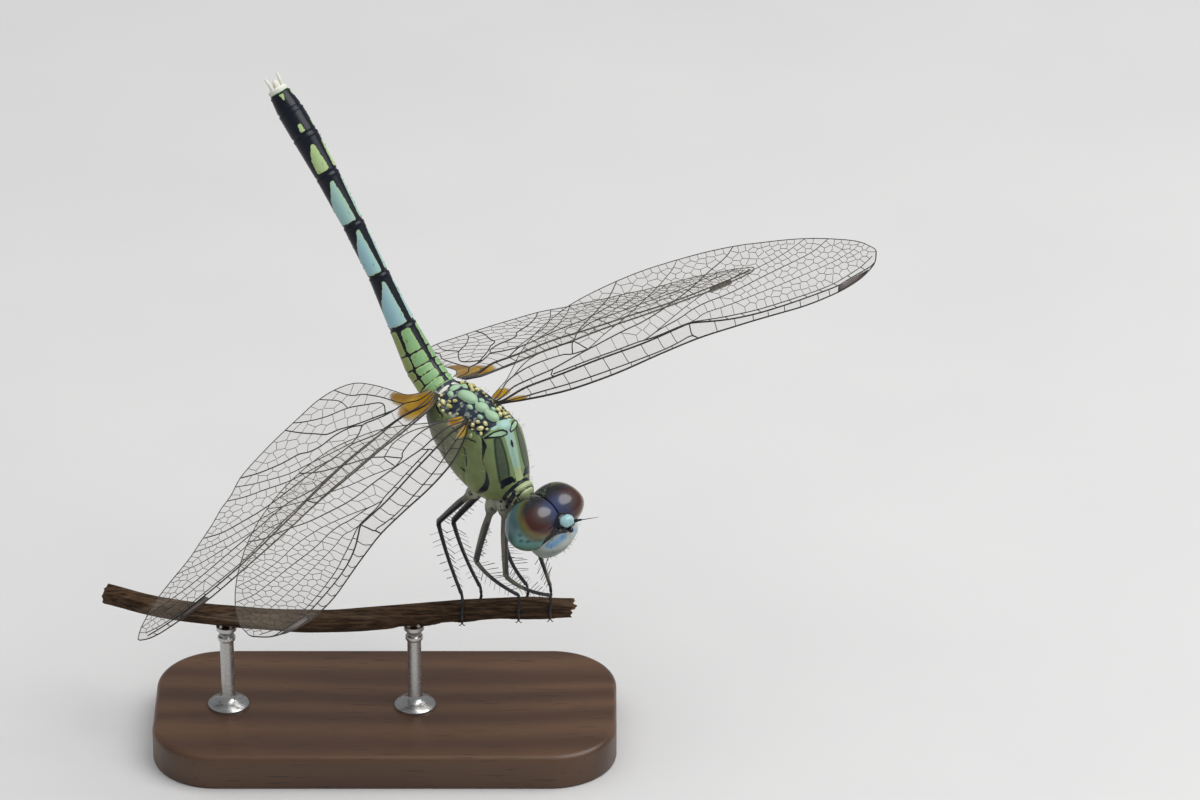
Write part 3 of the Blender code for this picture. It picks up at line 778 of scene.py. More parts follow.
# The compound eyes: glossy clear shells over pigment, brown on top, turquoise
# below, with an olive rim between. They meet on the midline. Where they end behind,
# the mottled back of the head shows.
HEAD_PLACE = Vector((7.9, 0.0, 0.1))
HEAD_TURN = Euler((0, math.radians(-15), 0), "XYZ").to_matrix()
EYE_HALF = np.array((1.45, 1.8, 1.8))
EYE_OFFSET = 0.82
EYE_LEAN = math.radians(9)
EYE_MEETING = 0.04
EYE_BROW = (0.42, 0.0, 0.08)
EYE_GRID = (88, 120)
CAP_DIRECTION = np.array((0.43, 0.09, 0.9))
FALSE_PUPILS = ((0.31, 0.89, 0.33), (0.71, 0.69, 0.14), (0.5, 0.85, 0.1))

compound_eye, tree, shader = new_material("compound_eye", Roughness=0.19, IOR=1.52)
cap, inner, fore, height = (kept(tree, n) for n in ("cap", "inner", "fore", "height"))
drift = maths(tree, "MULTIPLY_ADD", noise(tree, 1300.0), 0.03, -0.035)
cap = maths(tree, "ADD", cap, drift)
fore_mask = blend_range(tree, fore, -0.1, 0.5)
low = layer(tree, fore_mask, rgb(0.045, 0.105, 0.115), rgb(0.12, 0.29, 0.27))
low_green = blend_range(tree, height, 0.05, -0.55)
low = layer(tree, low_green, low, rgb(0.06, 0.11, 0.06))
pupils = blend_range(tree, kept(tree, "pupils"), 0.27, 0.05)
pupils = maths(tree, "MULTIPLY", pupils, 0.75)
low = layer(tree, pupils, low, rgb(0.012, 0.045, 0.06))
low = layer(tree, blend_range(tree, cap, 0.3, 0.5), low, rgb(0.085, 0.105, 0.05))
rings = grow(tree, "ValToRGB", {0: cap})
ramp = rings.color_ramp
ramp.elements[0].position, ramp.elements[0].color = 0.52, rgb(0.1, 0.1, 0.035)
ramp.elements[1].position, ramp.elements[1].color = 0.6, rgb(0.13, 0.1, 0.03)
for place, colour in (
    (0.66, rgb(0.1, 0.055, 0.02)),
    (0.71, rgb(0.05, 0.009, 0.006)),
    (0.82, rgb(0.05, 0.016, 0.012)),
    (0.93, rgb(0.06, 0.045, 0.042)),
):
    ramp.elements.new(place).color = colour
cap_mask = blend_range(tree, cap, 0.46, 0.58)
eye_tone = layer(tree, cap_mask, low, rings.outputs["Color"])
# Painted sheen: a blue-violet tint over the inner side of the brown cap.
painted_eye_sheen = maths(tree, "MULTIPLY", blend_range(tree, inner, -0.22, 0.38), 0.8)
painted_eye_sheen = maths(tree, "MULTIPLY", painted_eye_sheen, blend_range(tree, cap, 0.66, 0.8))
eye_tone = layer(tree, painted_eye_sheen, eye_tone, rgb(0.03, 0.048, 0.125))
shaded = blend_range(tree, fore, 0.25, -0.2)
shaded = maths(tree, "MULTIPLY", shaded, blend_range(tree, cap, 0.45, 0.7))
eye_tone = layer(tree, shaded, eye_tone, rgb(0.014, 0.015, 0.016))
rear_field = kept(tree, "rear")
mottle = grow(tree, "TexVoronoi", {"Vector": object_place(tree), "Scale": 8500.0})
mottle = blend_range(tree, mottle.outputs["Distance"], 0.1, 0.6)
rear_tone = layer(tree, mottle, rgb(0.12, 0.13, 0.11), rgb(0.02, 0.022, 0.02))
eye_tone = layer(tree, blend_range(tree, rear_field, 0.01, -0.01), eye_tone, rear_tone)
seam_line = blend_range(tree, maths(tree, "ABSOLUTE", rear_field), 0.07, 0.04)
seam_line = maths(tree, "MULTIPLY", seam_line, 0.9)
eye_tone = layer(tree, seam_line, eye_tone, rgb(0.006, 0.006, 0.006))
facets = grow(tree, "TexVoronoi", {"Vector": object_place(tree), "Scale": 24000.0})
feed(tree, shader, Base_Color=eye_tone)
feed(tree, shader, Normal=relief(tree, facets.outputs["Distance"], 0.004, 0.08))


def in_head(points):
    """Points in the head's frame, as metres in the room."""
    turned = np.asarray(points, float) @ np.array(HEAD_TURN).T + np.array(HEAD_PLACE)
    return in_room(turned)


def ball(half, rows=64, columns=96):
    """Directions over a ball with its poles at the sides, as grid rows."""
    down = np.linspace(0.012, math.pi - 0.012, rows)[:, None]
    round_it = (np.arange(columns) / columns * 2 * np.pi)[None]
    ones = np.ones_like(round_it)
    x, z = np.sin(down) * np.cos(round_it), np.sin(down) * np.sin(round_it)
    return (np.stack([x, np.cos(down) * ones, z], -1) * half).reshape(-1, 3)


for name, side in (("left", 1), ("right", -1)):
    rolled = np.array(Euler((side * EYE_LEAN, 0, 0)).to_matrix())
    points = ball(EYE_HALF, *EYE_GRID) @ rolled.T + (0, side * EYE_OFFSET, 0)
    facing = ball(1 / EYE_HALF, *EYE_GRID) @ rolled.T
    facing /= np.linalg.norm(facing, axis=1)[:, None]
    # The upper front swells forward over the vertex.
    brow = step(points[:, 2], -0.4, 1.0) * step(points[:, 0], -0.9, 0.7)
    points += brow[:, None] * EYE_BROW
    flat = side * points[:, 1] < EYE_MEETING
    points[flat, 1] = side * EYE_MEETING
    inward = facing * (1, -side, 1)
    pupils = []
    for x, y, z in FALSE_PUPILS:
        towards = inward @ np.array((x, -y, z)) / np.linalg.norm((x, y, z))
        pupils.append(np.arccos(np.clip(towards, -1, 1)) * 1.7)
    rear = points[:, 0] + 0.1 + 0.62 * (side * points[:, 1] - 0.1)
    lens = piece(
        f"eye_shell_{name}", in_head(points), net(*EYE_GRID), [compound_eye], "eye",
        f"eye_{name}", smooth=0,
    )
    mark(
        lens, cap=inward @ CAP_DIRECTION, inner=inward[:, 1], fore=facing[:, 0],
        height=facing[:, 2], pupils=np.min(pupils, axis=0), rear=rear,
    )


# The head capsule behind the eyes, and the face in front of them: frons, clypeus and
# lip in one shell with grooves between them. The face is blue-white, with a blue sheen
# painted on each side of the face, weaker on the left, and a shining black bar under
# the vertex that runs down along the eyes.
head_back, tree, shader = new_material("head_back", Roughness=0.5)
mottle = grow(tree, "TexVoronoi", {"Vector": object_place(tree), "Scale": 7500.0})
mottle = blend_range(tree, mottle.outputs["Distance"], 0.1, 0.6)
tone = layer(tree, mottle, rgb(0.17, 0.18, 0.13), rgb(0.03, 0.034, 0.03))
grain = grouped(tree, shell_grain, Pitch=0.05)
feed(tree, shader, Base_Color=tone, Normal=relief(tree, grain.outputs["Pits"], 0.02))
capsule = ball((0.95, 2.05, 1.42)) + (-0.58, 0, -0.22)
piece("head_capsule", in_head(capsule), net(64, 96), [head_back], "face", smooth=0)

# A row of the face is its height, how far forward its middle is, its depth and its
# half width.
FACE_ROWS = (
    (1.3, 1.4, 0.42, 0.5),
    (1.1, 1.35, 0.66, 0.75),
    (0.7, 1.15, 1.0, 1.0),
    (0.1, 1.1, 1.2, 1.18),
    (-0.6, 1.0, 1.18, 1.3),
    (-1.2, 0.85, 1.12, 1.33),
    (-1.8, 0.65, 0.98, 1.22),
    (-2.3, 0.4, 0.75, 0.92),
    (-2.5, 0.2, 0.45, 0.6),
)
FACE_GRID = (110, 144)
FACE_SQUARENESS = 2.35
BROW_RISE, LIP_RISE, FRONS_RISE, FOLD_DEPTH, FURROW_DEPTH = 0.1, 0.07, 0.16, 0.09, 0.07
heights = np.linspace(1.38, -2.56, FACE_GRID[0])
face_knots = np.array(FACE_ROWS).T
face_middle, face_depth, face_width = (
    soften(np.interp(-heights, -face_knots[0], values), 5) for values in face_knots[1:]
)
end_round = np.clip(np.minimum(1.42 - heights, heights + 2.6) / 0.3, 0.05, 1)
end_round = np.sqrt(1 - (1 - end_round) ** 2)[:, None]
turn = np.arange(FACE_GRID[1]) / FACE_GRID[1] * 2 * np.pi
ahead, aside = (
    np.sign(way) * np.abs(way) ** (2 / FACE_SQUARENESS) for way in (np.cos(turn), np.sin(turn))
)
tall = heights[:, None] * np.ones_like(turn)


def face_at(lift):
    x = face_middle[:, None] + (face_depth[:, None] + lift) * ahead * end_round
    y = (face_width[:, None] + lift) * aside * end_round
    return np.stack([x, y, tall], -1)


face_grid = face_at(0.0)
across = np.abs(face_grid[..., 1])


def face_line(*knots):
    """Distance on the face to a line of points with half widths, on both sides."""
    nearest = np.full(across.shape, FAR)
    spot = np.stack([face_grid[..., 0], across, tall], -1)
    for (*start, first), (*end, last) in zip(knots, knots[1:]):
        start, run = np.array(start), np.array(end) - start
        t = np.clip((spot - start) @ run / (run @ run + 1e-9), 0, 1)
        away = np.linalg.norm(spot - start - t[..., None] * run, axis=-1)
        nearest = np.minimum(nearest, away - first - t * (last - first))
    return nearest


clypeus_top = -0.56 - 0.3 * across**2
clypeus_fold = -0.95 - 0.1 * across**2
lip_top = -1.32 + 0.12 * across**2
grooves = np.min([np.abs(tall - line) for line in (clypeus_top, clypeus_fold, lip_top)], axis=0)
front = step(ahead, 0.0, 0.6)
face_lift = BROW_RISE * step(-np.abs(tall - 0.1), -0.75, 0.0) * front
face_lift -= FOLD_DEPTH * (1 - step(grooves, 0.0, 0.14)) * front
face_lift -= FURROW_DEPTH * (1 - step(across, 0.0, 0.16)) * front * step(tall, -0.1, 0.3)
face_lift += LIP_RISE * step(-np.abs(tall + 1.75), -0.4, 0.0) * front
face_lift += FRONS_RISE * step(-np.hypot(across * 0.8, tall - 0.85), -0.42, 0.0) * front
face_grid = face_at(face_lift)
to_eye = np.stack([face_grid[..., 0] - 0.25 * step(tall, -0.4, 1.0), across, tall], -1)
to_eye = (to_eye - (0, EYE_OFFSET, 0)) @ np.array(Euler((EYE_LEAN, 0, 0)).to_matrix())
to_eye = (np.linalg.norm(to_eye / EYE_HALF, axis=-1) - 1) * 1.6
black_bar = np.minimum(
    face_line((2.2, 0, 0.86, 0.25), (2.0, 0.5, 0.85, 0.2), (1.75, 0.9, 0.72, 0.2)),
    to_eye - 0.36 * step(tall, -0.75, 0.75),
)
black_bar = np.minimum(black_bar, 0.97 - tall)
# Painted sheen: a blue patch on each side of the face. The shift below weakens it on the left.
side_blue = face_line(
    (2.15, 0.38, 0.42, 0.2), (1.95, 0.75, 0.05, 0.26), (1.75, 1.05, -0.35, 0.2)
)
side_blue += 0.1 * step(face_grid[..., 1], 0.0, 0.4)
lip_edge = np.abs(tall + 2.12 - 0.18 * across**2) - 0.035

face_shell, tree, shader = new_material("face_shell", Roughness=0.38)
grain = grouped(tree, shell_grain, Pitch=0.035)
white = layer(tree, grain.outputs["Drift"], rgb(0.36, 0.42, 0.4), rgb(0.5, 0.55, 0.53))
chin = blend_range(tree, kept(tree, "tall"), -0.5, -1.2)
white = layer(tree, chin, white, rgb(0.26, 0.3, 0.26))
# The painted blue sheen on the sides of the face.
blue = blend_range(tree, kept(tree, "side_blue"), 0.12, -0.1)
face_tone = layer(tree, blue, white, rgb(0.16, 0.36, 0.58))
lines = marked_by(tree, "lip_edge", 0.02, 0.02)
face_tone = layer(tree, maths(tree, "MULTIPLY", lines, 0.8), face_tone, rgb(0.04, 0.04, 0.03))
bar = marked_by(tree, "black_bar", 0.02, 0.03)
face_tone = layer(tree, bar, face_tone, rgb(0.005, 0.008, 0.014))
gloss = blend_range(tree, bar, 0.0, 1.0, 0.4, 0.12)
feed(tree, shader, Base_Color=face_tone, Roughness=gloss)
feed(tree, shader, Normal=relief(tree, grain.outputs["Pits"], 0.006, 0.5))
face = piece(
    "face_shell", in_head(face_grid.reshape(-1, 3)), net(*FACE_GRID), [face_shell],
    "face", "head", smooth=0,
)
mark(face, black_bar=black_bar, side_blue=side_blue, lip_edge=lip_edge, tall=tall)


# The vertex: a swollen knob between the eyes with a pale blue top, and the three
# ocelli round it, small clear beads set in black.
vertex_shell, tree, shader = new_material("vertex_shell", Roughness=0.16)
grain = grouped(tree, shell_grain, Pitch=0.04)
top = marked_by(tree, "top", 0.04, 0.06)
pearl = layer(tree, grain.outputs["Drift"], rgb(0.17, 0.38, 0.4), rgb(0.42, 0.58, 0.6))
tone = layer(tree, top, rgb(0.005, 0.007, 0.012), pearl)
feed(tree, shader, Base_Color=tone, Normal=relief(tree, grain.outputs["Pits"], 0.004, 0.4))
KNOB_GRID = (32, 48)
BEAD_GRID = (20, 28)
OCELLI = (((2.38, 0.0, 0.9), 0.17), ((1.9, 0.45, 1.16), 0.13), ((1.9, -0.45, 1.16), 0.13))

knob = ball((0.4, 0.46, 0.42), *KNOB_GRID)
height = knob[:, 2] + 0.25 * knob[:, 0]
knob[:, 0] *= 1 - 0.12 * (np.abs(knob[:, 1]) < 0.12)
vertex = piece(
    "vertex", in_head(knob + (1.98, 0, 1.32)), net(*KNOB_GRID), [vertex_shell], "face",
    smooth=0,
)
mark(vertex, top=0.02 - height)
ocellus = drifting(
    "ocellus", 6000.0, rgb(0.004, 0.005, 0.008), rgb(0.02, 0.02, 0.03),
    Roughness=0.06, IOR=1.5,
)
beads, bead_faces = [], []
for place, size in OCELLI:
    bead_faces += net(*BEAD_GRID, len(beads) * math.prod(BEAD_GRID))
    beads.append(ball(np.ones(3) * size, *BEAD_GRID) + place)
piece("ocelli", in_head(np.concatenate(beads)), bead_faces, [ocellus], "eye", smooth=0)


# The feelers: two short joints and a stiff bristle on each side of the vertex, in the
# same black shell as the legs. Each is one tapered tube set into the face.
FEELER_ROOT = np.array((2.12, 0.68, 1.05))
FEELER_RUNS = {"left": (0.72, 0.5, 0.48), "right": (0.26, -0.96, 0.04)}

black_shell, tree, shader = new_material("black_shell")
grain = grouped(tree, shell_grain, Pitch=0.07)
drift = grain.outputs["Drift"]
tone = layer(tree, drift, rgb(0.006, 0.006, 0.008), rgb(0.022, 0.021, 0.022))
feed(tree, shader, Base_Color=tone, Roughness=blend_range(tree, drift, 0.2, 0.8, 0.24, 0.42))
feed(tree, shader, Normal=relief(tree, grain.outputs["Pits"], 0.008))
reach = np.array([-0.25, 0.0, 0.08, 0.13, 0.17, 0.28, 0.33, 0.37, 0.7, 1.1, 1.3])[:, None]
bow = np.array([0, 0, 0, 0, 0, 0, 0, 0.0, 0.04, 0.13, 0.2])[:, None]
radii = np.array([0.1, 0.11, 0.1, 0.06, 0.075, 0.07, 0.045, 0.028, 0.022, 0.014, 0.006])
for name, side in (("left", 1), ("right", -1)):
    way = np.array(FEELER_RUNS[name]) / np.linalg.norm(FEELER_RUNS[name])
    path = FEELER_ROOT * (1, side, 1) + reach * way + bow * np.array((0.2, side, -0.3))
    points, faces = sweep(path, radii, 10, 1.0, (0, 0, 1.0))
    piece(f"feeler_{name}", in_head(points), faces, [black_shell], "leg_black", f"antenna_{name}")


# The perch: a weathered broken twig that the insect grips. Its bark is dark and
# cracked lengthwise; underneath it is torn down to paler wood, and the right end is
# snapped off on a slant, with a short stub of fibres standing out.
TWIG_HEIGHT = 8.5
TWIG_RADIUS = 0.68
TWIG_ROUTE = (
    (-16.8, 2.2, 0.0), (-13.8, 0.9, -0.1), (-10.8, 0.0, -0.1), (-7.0, -0.7, -0.1),
    (-3.0, -0.9, -0.1), (1.0, -0.5, 0.0), (4.7, 0.1, 0.0), (8.5, 0.3, 0.1), (11.4, 0.3, 0.0),
)
TWIG_ROWS = 520
TWIG_SIDES = 120

twig_knots = [(x, y, TWIG_HEIGHT + rise) for x, y, rise in TWIG_ROUTE]
twig_path = spline(twig_knots, TWIG_ROWS)


def twig_at(station):
    return np.array([np.interp(station, twig_path[:, 0], column) for column in twig_path.T])


def round_twig(station, degrees, distance):
    turn = math.radians(degrees)
    return twig_at(station) + distance * np.array((0, -math.sin(turn), math.cos(turn)))


def wander(along, around, seed, waves, scale):
    """A smooth random field over the twig, between about -1 and 1."""
    dice = np.random.default_rng(seed)
    field = 0 * along * around
    for _ in range(waves):
        turns, pitch = dice.integers(1, 14), dice.normal() * scale
        field = field + np.sin(turns * around + pitch * along + dice.uniform(0, 6.3))
    return field / math.sqrt(waves)


along = twig_path[:, :1]
around = (np.arange(TWIG_SIDES) / TWIG_SIDES * 2 * np.pi)[None]
torn_edge = np.cos(around - 3.5) - 0.35 + 0.16 * wander(along, around * 0, 5, 7, 1.6)
torn_edge = torn_edge + 0.05 * wander(along, around, 6, 9, 2.5) - 0.5 * step(-along, -3.0, 2.5)
torn = step(torn_edge, -0.02, 0.04)
ridges = np.abs(wander(along, around, 8, 10, 0.35))
depth = 0.045 * ridges - 0.1 * torn * (0.7 + 0.3 * ridges)
depth = depth - 0.05 * step(-np.abs(wander(along, around, 12, 7, 0.3)), -0.1, 0.0)
slim = 0.9 + 0.1 * step(along, -14.0, -6.0)
slant = step(-np.cos(around), 0.1, 1.0)
depth = depth - 0.42 * slant * step(along, 9.8, 11.7)
twig_radius = (TWIG_RADIUS - 0.02) * slim + depth + 0.02 * wander(along, around * 0, 3, 5, 0.7)
run = np.gradient(twig_path, axis=0)
run /= np.linalg.norm(run, axis=1)[:, None]
level = np.cross(run, (0.0, 0.0, 1.0))
rise = np.cross(level, run)
out = np.cos(around)[..., None] * rise[:, None] + np.sin(around)[..., None] * level[:, None]
twig_skin = twig_path[:, None] + twig_radius[..., None] * out
near_end = np.maximum(0, along - 10.6) / 0.8
ragged = 0.17 * wander(around * 0 + 1, around, 21, 9, 1.0) - 0.1
splinter = np.exp(-(((around - 4.4) / 0.45) ** 2))
reach = near_end**1.5 * (ragged + 0.42 * splinter - 0.5 * slant)
twig_skin = twig_skin + reach[..., None] * run[:, None]


def end_ring(skin, heart, part, lift):
    """A ring on a broken end, part of the way from the skin to the heart of the twig."""
    ring = skin + (heart - skin) * part
    ring[:, 0] += lift
    return ring


heart = twig_path[-1] - (0.55, 0, 0)
fibre_lift = 0.07 * np.sin(around[0] * 9) + 0.05 * np.sin(around[0] * 17 + 1)
broken = [
    end_ring(twig_skin[-1], heart, part, fibre_lift * lift)
    for part, lift in ((0.12, 0.3), (0.35, 1.0), (0.6, 0.8), (0.85, 0.5), (0.985, 0.0))
]
saw_lift = 0.06 * np.sin(around[0] * 7 + 2)
butt = [
    end_ring(twig_skin[0], twig_path[0], part, saw_lift * lift - 0.05)
    for part, lift in ((0.985, 0.0), (0.6, 0.6), (0.15, 1.0))
]
twig_points = np.concatenate([*butt, twig_skin.reshape(-1, 3), *broken])
wood_part = [np.ones((len(butt), TWIG_SIDES)), torn, np.ones((len(broken), TWIG_SIDES))]


def stretched(tree, *scale):
    """The object's own place, squeezed so that noise is drawn out along one way."""
    return grow(tree, "Mapping", {0: object_place(tree), "Scale": scale}).outputs[0]


bark, tree, shader = new_material("bark", Roughness=0.85, IOR=1.3)
stretch = stretched(tree, 0.12, 1.0, 1.0)
fibres = noise(tree, 5200.0, Vector=stretch, Detail=6.0, Roughness=0.65)
coarse = noise(tree, 1100.0, Vector=stretch, Detail=4.0)
streaks = blend_range(tree, fibres, 0.35, 0.68)
bark_tone = layer(tree, streaks, rgb(0.02, 0.01, 0.005), rgb(0.085, 0.048, 0.025))
weathered = blend_range(tree, coarse, 0.52, 0.7)
weathered = maths(tree, "MULTIPLY", weathered, 0.7)
bark_tone = layer(tree, weathered, bark_tone, rgb(0.13, 0.09, 0.058))
wood_tone = layer(tree, streaks, rgb(0.07, 0.032, 0.013), rgb(0.2, 0.112, 0.053))
wood = blend_range(tree, kept(tree, "torn"), 0.3, 0.7)
bark_tone = layer(tree, wood, bark_tone, wood_tone)
feed(tree, shader, Base_Color=bark_tone)
feed(tree, shader, Normal=relief(tree, fibres, 0.09, 0.9))
twig_rows = len(twig_points) // TWIG_SIDES
twig = piece(
    "twig", twig_points * MM, net(twig_rows, TWIG_SIDES), [bark], "bark", "perch_twig",
    smooth=40,
)
mark(twig, torn=np.concatenate(wood_part))


# The legs: coxa, femur, tibia and a thin tarsus that folds over the twig and ends in
# two hooked claws. Each leg is black with a grey-brown outer stripe and a pale knee.
LEGS = (
    ("hind_right", (3.4, -0.95, -2.9), (2.4, -1.45, -7.6), 4.7, 15, 125),
    ("hind_left", (3.4, 0.95, -2.9), (2.8, -0.55, -7.7), 5.8, -20, -110),
    ("mid_right", (5.0, -0.9, -2.4), (6.25, -2.1, -5.9), 8.1, 25, 125),
    ("mid_left", (4.9, 0.85, -2.4), (6.2, 0.3, -6.0), 8.6, -25, -110),
    ("front_right", (5.7, -0.65, -1.8), (8.3, -1.65, -5.1), 10.0, 25, 110),
    ("front_left", (5.7, 0.65, -1.8), (7.9, 1.3, -5.3), 10.0, -30, -110),
)
COXA_RINGS, THIGH_RINGS, SHIN_RINGS, FOOT_RINGS, CLAW_RINGS = 14, 26, 30, 34, 12
LIMB_SIDES, SHIN_SIDES, FOOT_SIDES, CLAW_SIDES = 20, 16, 14, 8
TIBIA_BOW = 0.25
FOOT_HEIGHT = 0.8
ANKLE_HEIGHT = 1.4

leg_shell, tree, shader = new_material("leg_shell")
grain = grouped(tree, shell_grain, Pitch=0.06)
drift = grain.outputs["Drift"]
ink = layer(tree, drift, rgb(0.006, 0.007, 0.01), rgb(0.02, 0.02, 0.022))
bare = kept(tree, "bare")
dusty = layer(tree, drift, rgb(0.07, 0.06, 0.042), rgb(0.19, 0.175, 0.135))
worn = maths(tree, "ADD", bare, maths(tree, "MULTIPLY", drift, 0.3))
worn = blend_range(tree, worn, 0.45, 0.75)
leg_tone = layer(tree, worn, ink, dusty)
chalky = layer(tree, drift, rgb(0.18, 0.19, 0.13), rgb(0.42, 0.43, 0.33))
chalky = layer(tree, blend_range(tree, noise(tree, 3000.0), 0.55, 0.62), chalky, ink)
leg_tone = layer(tree, blend_range(tree, bare, 0.9, 1.3), leg_tone, chalky)
feed(tree, shader, Base_Color=leg_tone, Roughness=blend_range(tree, worn, 0, 1, 0.28, 0.5))
feed(tree, shader, Normal=relief(tree, grain.outputs["Pits"], 0.01, 0.7))


def gather(parts):
    """Several tubes as the points and faces of one mesh."""
    points, faces, first = [], [], 0
    for some, those in parts:
        points.append(some)
        faces += [tuple(index + first for index in face) for face in those]
        first += len(some)
    return np.concatenate(points), faces


def unit(vector):
    return vector / np.linalg.norm(vector)


def bowed(start, end, outward, bow, count):
    """A path from start to end that bows outwards by so much at its middle."""
    part = np.linspace(0, 1, count)[:, None]
    return start + (end - start) * part + 4 * bow * part * (1 - part) * outward


def along_limb(count, *knots):
    """Radii along a limb, through pairs of part and radius."""
    return np.interp(np.linspace(0, 1, count), *zip(*knots))


leg_paths = []
inner = in_room([[4.3, 0, -1.2]])[0] / MM
for word, hip, knee, station, first, last in LEGS:
    hip, knee = in_room([hip, knee]) / MM
    ankle = round_twig(station, first, ANKLE_HEIGHT)
    down = unit(knee - hip)
    drop = unit(down + 0.6 * unit(hip - inner))
    outward = unit(knee - (hip + ankle) / 2)
    coxa = spline([hip - 0.75 * drop, hip, hip + 0.5 * drop + 0.1 * down], COXA_RINGS)
    coxa_radii = along_limb(
        COXA_RINGS, (0, 0.5), (0.45, 0.44), (0.72, 0.32), (0.8, 0.24), (1, 0.2)
    )
    thigh = bowed(hip + 0.35 * down, knee, outward, 0.06, THIGH_RINGS)
    thigh_radii = along_limb(
        THIGH_RINGS, (0, 0.15), (0.05, 0.2), (0.3, 0.235), (0.75, 0.2), (0.93, 0.19),
        (0.97, 0.205), (1, 0.15),
    )
    shin = bowed(knee, ankle, outward, TIBIA_BOW, SHIN_RINGS)
    shin_radii = along_limb(
        SHIN_RINGS, (0, 0.1), (0.03, 0.16), (0.08, 0.135), (0.5, 0.112), (0.93, 0.11),
        (0.97, 0.13), (1, 0.08),
    )
    turns = np.linspace(first, last, 5)
    steps = [round_twig(station, turn, FOOT_HEIGHT) for turn in turns[2:]]
    half_step = turns[0] + 0.5 * (turns[1] - turns[0])
    steps = [ankle, round_twig(station + 0.05, half_step, FOOT_HEIGHT + 0.12), *steps]
    foot = spline(steps, FOOT_RINGS)
    joints = np.abs(np.linspace(0, 1, FOOT_RINGS)[:, None] - (0.22, 0.5)).min(axis=1)
    foot_radii = 0.088 - 0.03 * np.exp(-((joints / 0.03) ** 2))
    foot_radii += 0.012 * np.exp(-(((joints - 0.07) / 0.04) ** 2))
    foot_radii[-3:] = (0.08, 0.065, 0.045)
    side_way = unit(np.cross(foot[-1] - foot[-3], foot[-1] - twig_at(station)))
    ahead_way = unit(foot[-1] - foot[-3])
    inward_way = unit(twig_at(station) - foot[-1])
    parts = [
        sweep(coxa, coxa_radii, LIMB_SIDES),
        sweep(thigh, thigh_radii, LIMB_SIDES, 0.85, outward),
        sweep(shin, shin_radii, SHIN_SIDES),
        sweep(foot, foot_radii, FOOT_SIDES),
    ]
    for side in (-1, 1):
        claw = spline(
            [
                foot[-1] - 0.03 * ahead_way,
                foot[-1] + 0.13 * ahead_way + side * 0.1 * side_way - 0.04 * inward_way,
                foot[-1] + 0.25 * ahead_way + side * 0.17 * side_way + 0.02 * inward_way,
                foot[-1] + 0.27 * ahead_way + side * 0.2 * side_way + 0.13 * inward_way,
            ],
            CLAW_RINGS,
        )
        parts.append(sweep(claw, np.linspace(0.042, 0.006, CLAW_RINGS), CLAW_SIDES))
    points, faces = gather(parts)
    made = piece(
        f"leg_{word}", points * MM, faces, [leg_shell], "leg_black",
        f"femur_{word}", f"tibia_{word}", f"tarsus_{word}",
    )
    long_way = np.clip((points - hip) @ down / np.linalg.norm(knee - hip), -0.3, 1.2)
    facing = (points - (hip + np.clip(long_way, 0, 1)[:, None] * (knee - hip))) @ outward
    coxa_end = COXA_RINGS * LIMB_SIDES
    thigh_end = coxa_end + THIGH_RINGS * LIMB_SIDES
    shin_end = thigh_end + SHIN_RINGS * SHIN_SIDES
    number = np.arange(len(points))
    hipward = 1 - step(long_way, 0.12, 0.4)
    stripe = step(facing, 0.07, 0.13) * (0.95 - 0.45 * step(long_way, 0.3, 0.9))
    knee_patch = step(-np.linalg.norm(points - knee, axis=1), -0.34, -0.2)
    knee_patch *= step(facing, -0.02, 0.08)
    bare = np.where(number < thigh_end, np.maximum(hipward * 0.75, stripe), 0.0)
    shin_line = step((points - (knee + ankle) / 2) @ outward - 0.2, 0.06, 0.16) * 0.5
    shin_line *= word[:4] != "hind"
    bare = np.where((number >= thigh_end) & (number < shin_end), shin_line, bare)
    bare = np.maximum(bare, knee_patch)
    bare[:coxa_end] = np.repeat(np.linspace(1.4, 0.8, COXA_RINGS), LIMB_SIDES)
    mark(made, bare=bare)
    leg_paths.append((hip, knee, ankle, outward, thigh, shin))


# The spines: long stiff bristles in two rows down each tibia and short ones under the
# femora, set in the black shell and pointing towards the foot.
bristle, given = new_growth("bristle", ("Sides", "Int", 5), ("Bend", "Float", 2.5))
bend = grow(bristle, "CombineXYZ", {0: given["Bend"], 2: 1.0}).outputs[0]
arc = {"Resolution": 5, "Start": (0.0, 0.0, -0.05), "Middle": (0.0, 0.0, 0.5), "End": bend}
arc = grow(bristle, "GeometryNodeCurveQuadraticBezier", arc).outputs[0]
taper = grow(bristle, "GeometryNodeSplineParameter").outputs["Factor"]
taper = maths(bristle, "MULTIPLY_ADD", taper, -0.92, 1.0)
ring = {"Resolution": given["Sides"], "Radius": 1.0}
ring = grow(bristle, "GeometryNodeCurvePrimitiveCircle", ring).outputs[0]
hair = {0: arc, 1: ring, "Scale": taper, "Fill Caps": True}
hair = grow(bristle, "GeometryNodeCurveToMesh", hair).outputs[0]
grow(bristle, "NodeGroupOutput", {0: hair})

spines, given = new_growth(
    "spines", ("Thickness", "Float", 0.02 * MM), ("Bend", "Float", 2.5), ("Seed", "Int", 1)
)
spots = grow(spines, "GeometryNodeMeshToPoints", {0: given["Host"]}).outputs[0]
one = grow(spines, "GeometryNodeGroup", node_tree=bristle)
spines.links.new(given["Bend"], one.inputs["Bend"])
aim = {"Vector": kept_at(spines, "aim", "FLOAT_VECTOR")}
aim = grow(spines, "FunctionNodeAlignRotationToVector", aim, axis="Z").outputs[0]
spin = grow(spines, "FunctionNodeRandomValue", {2: 0.0, 3: 6.28, "Seed": given["Seed"]})
spin = grow(spines, "CombineXYZ", {2: spin.outputs[1]}).outputs[0]
spin = grow(spines, "FunctionNodeEulerToRotation", {0: spin}).outputs[0]
spun = {"rotation_space": "LOCAL"}
spin = grow(spines, "FunctionNodeRotateRotation", {0: aim, 1: spin}, **spun).outputs[0]
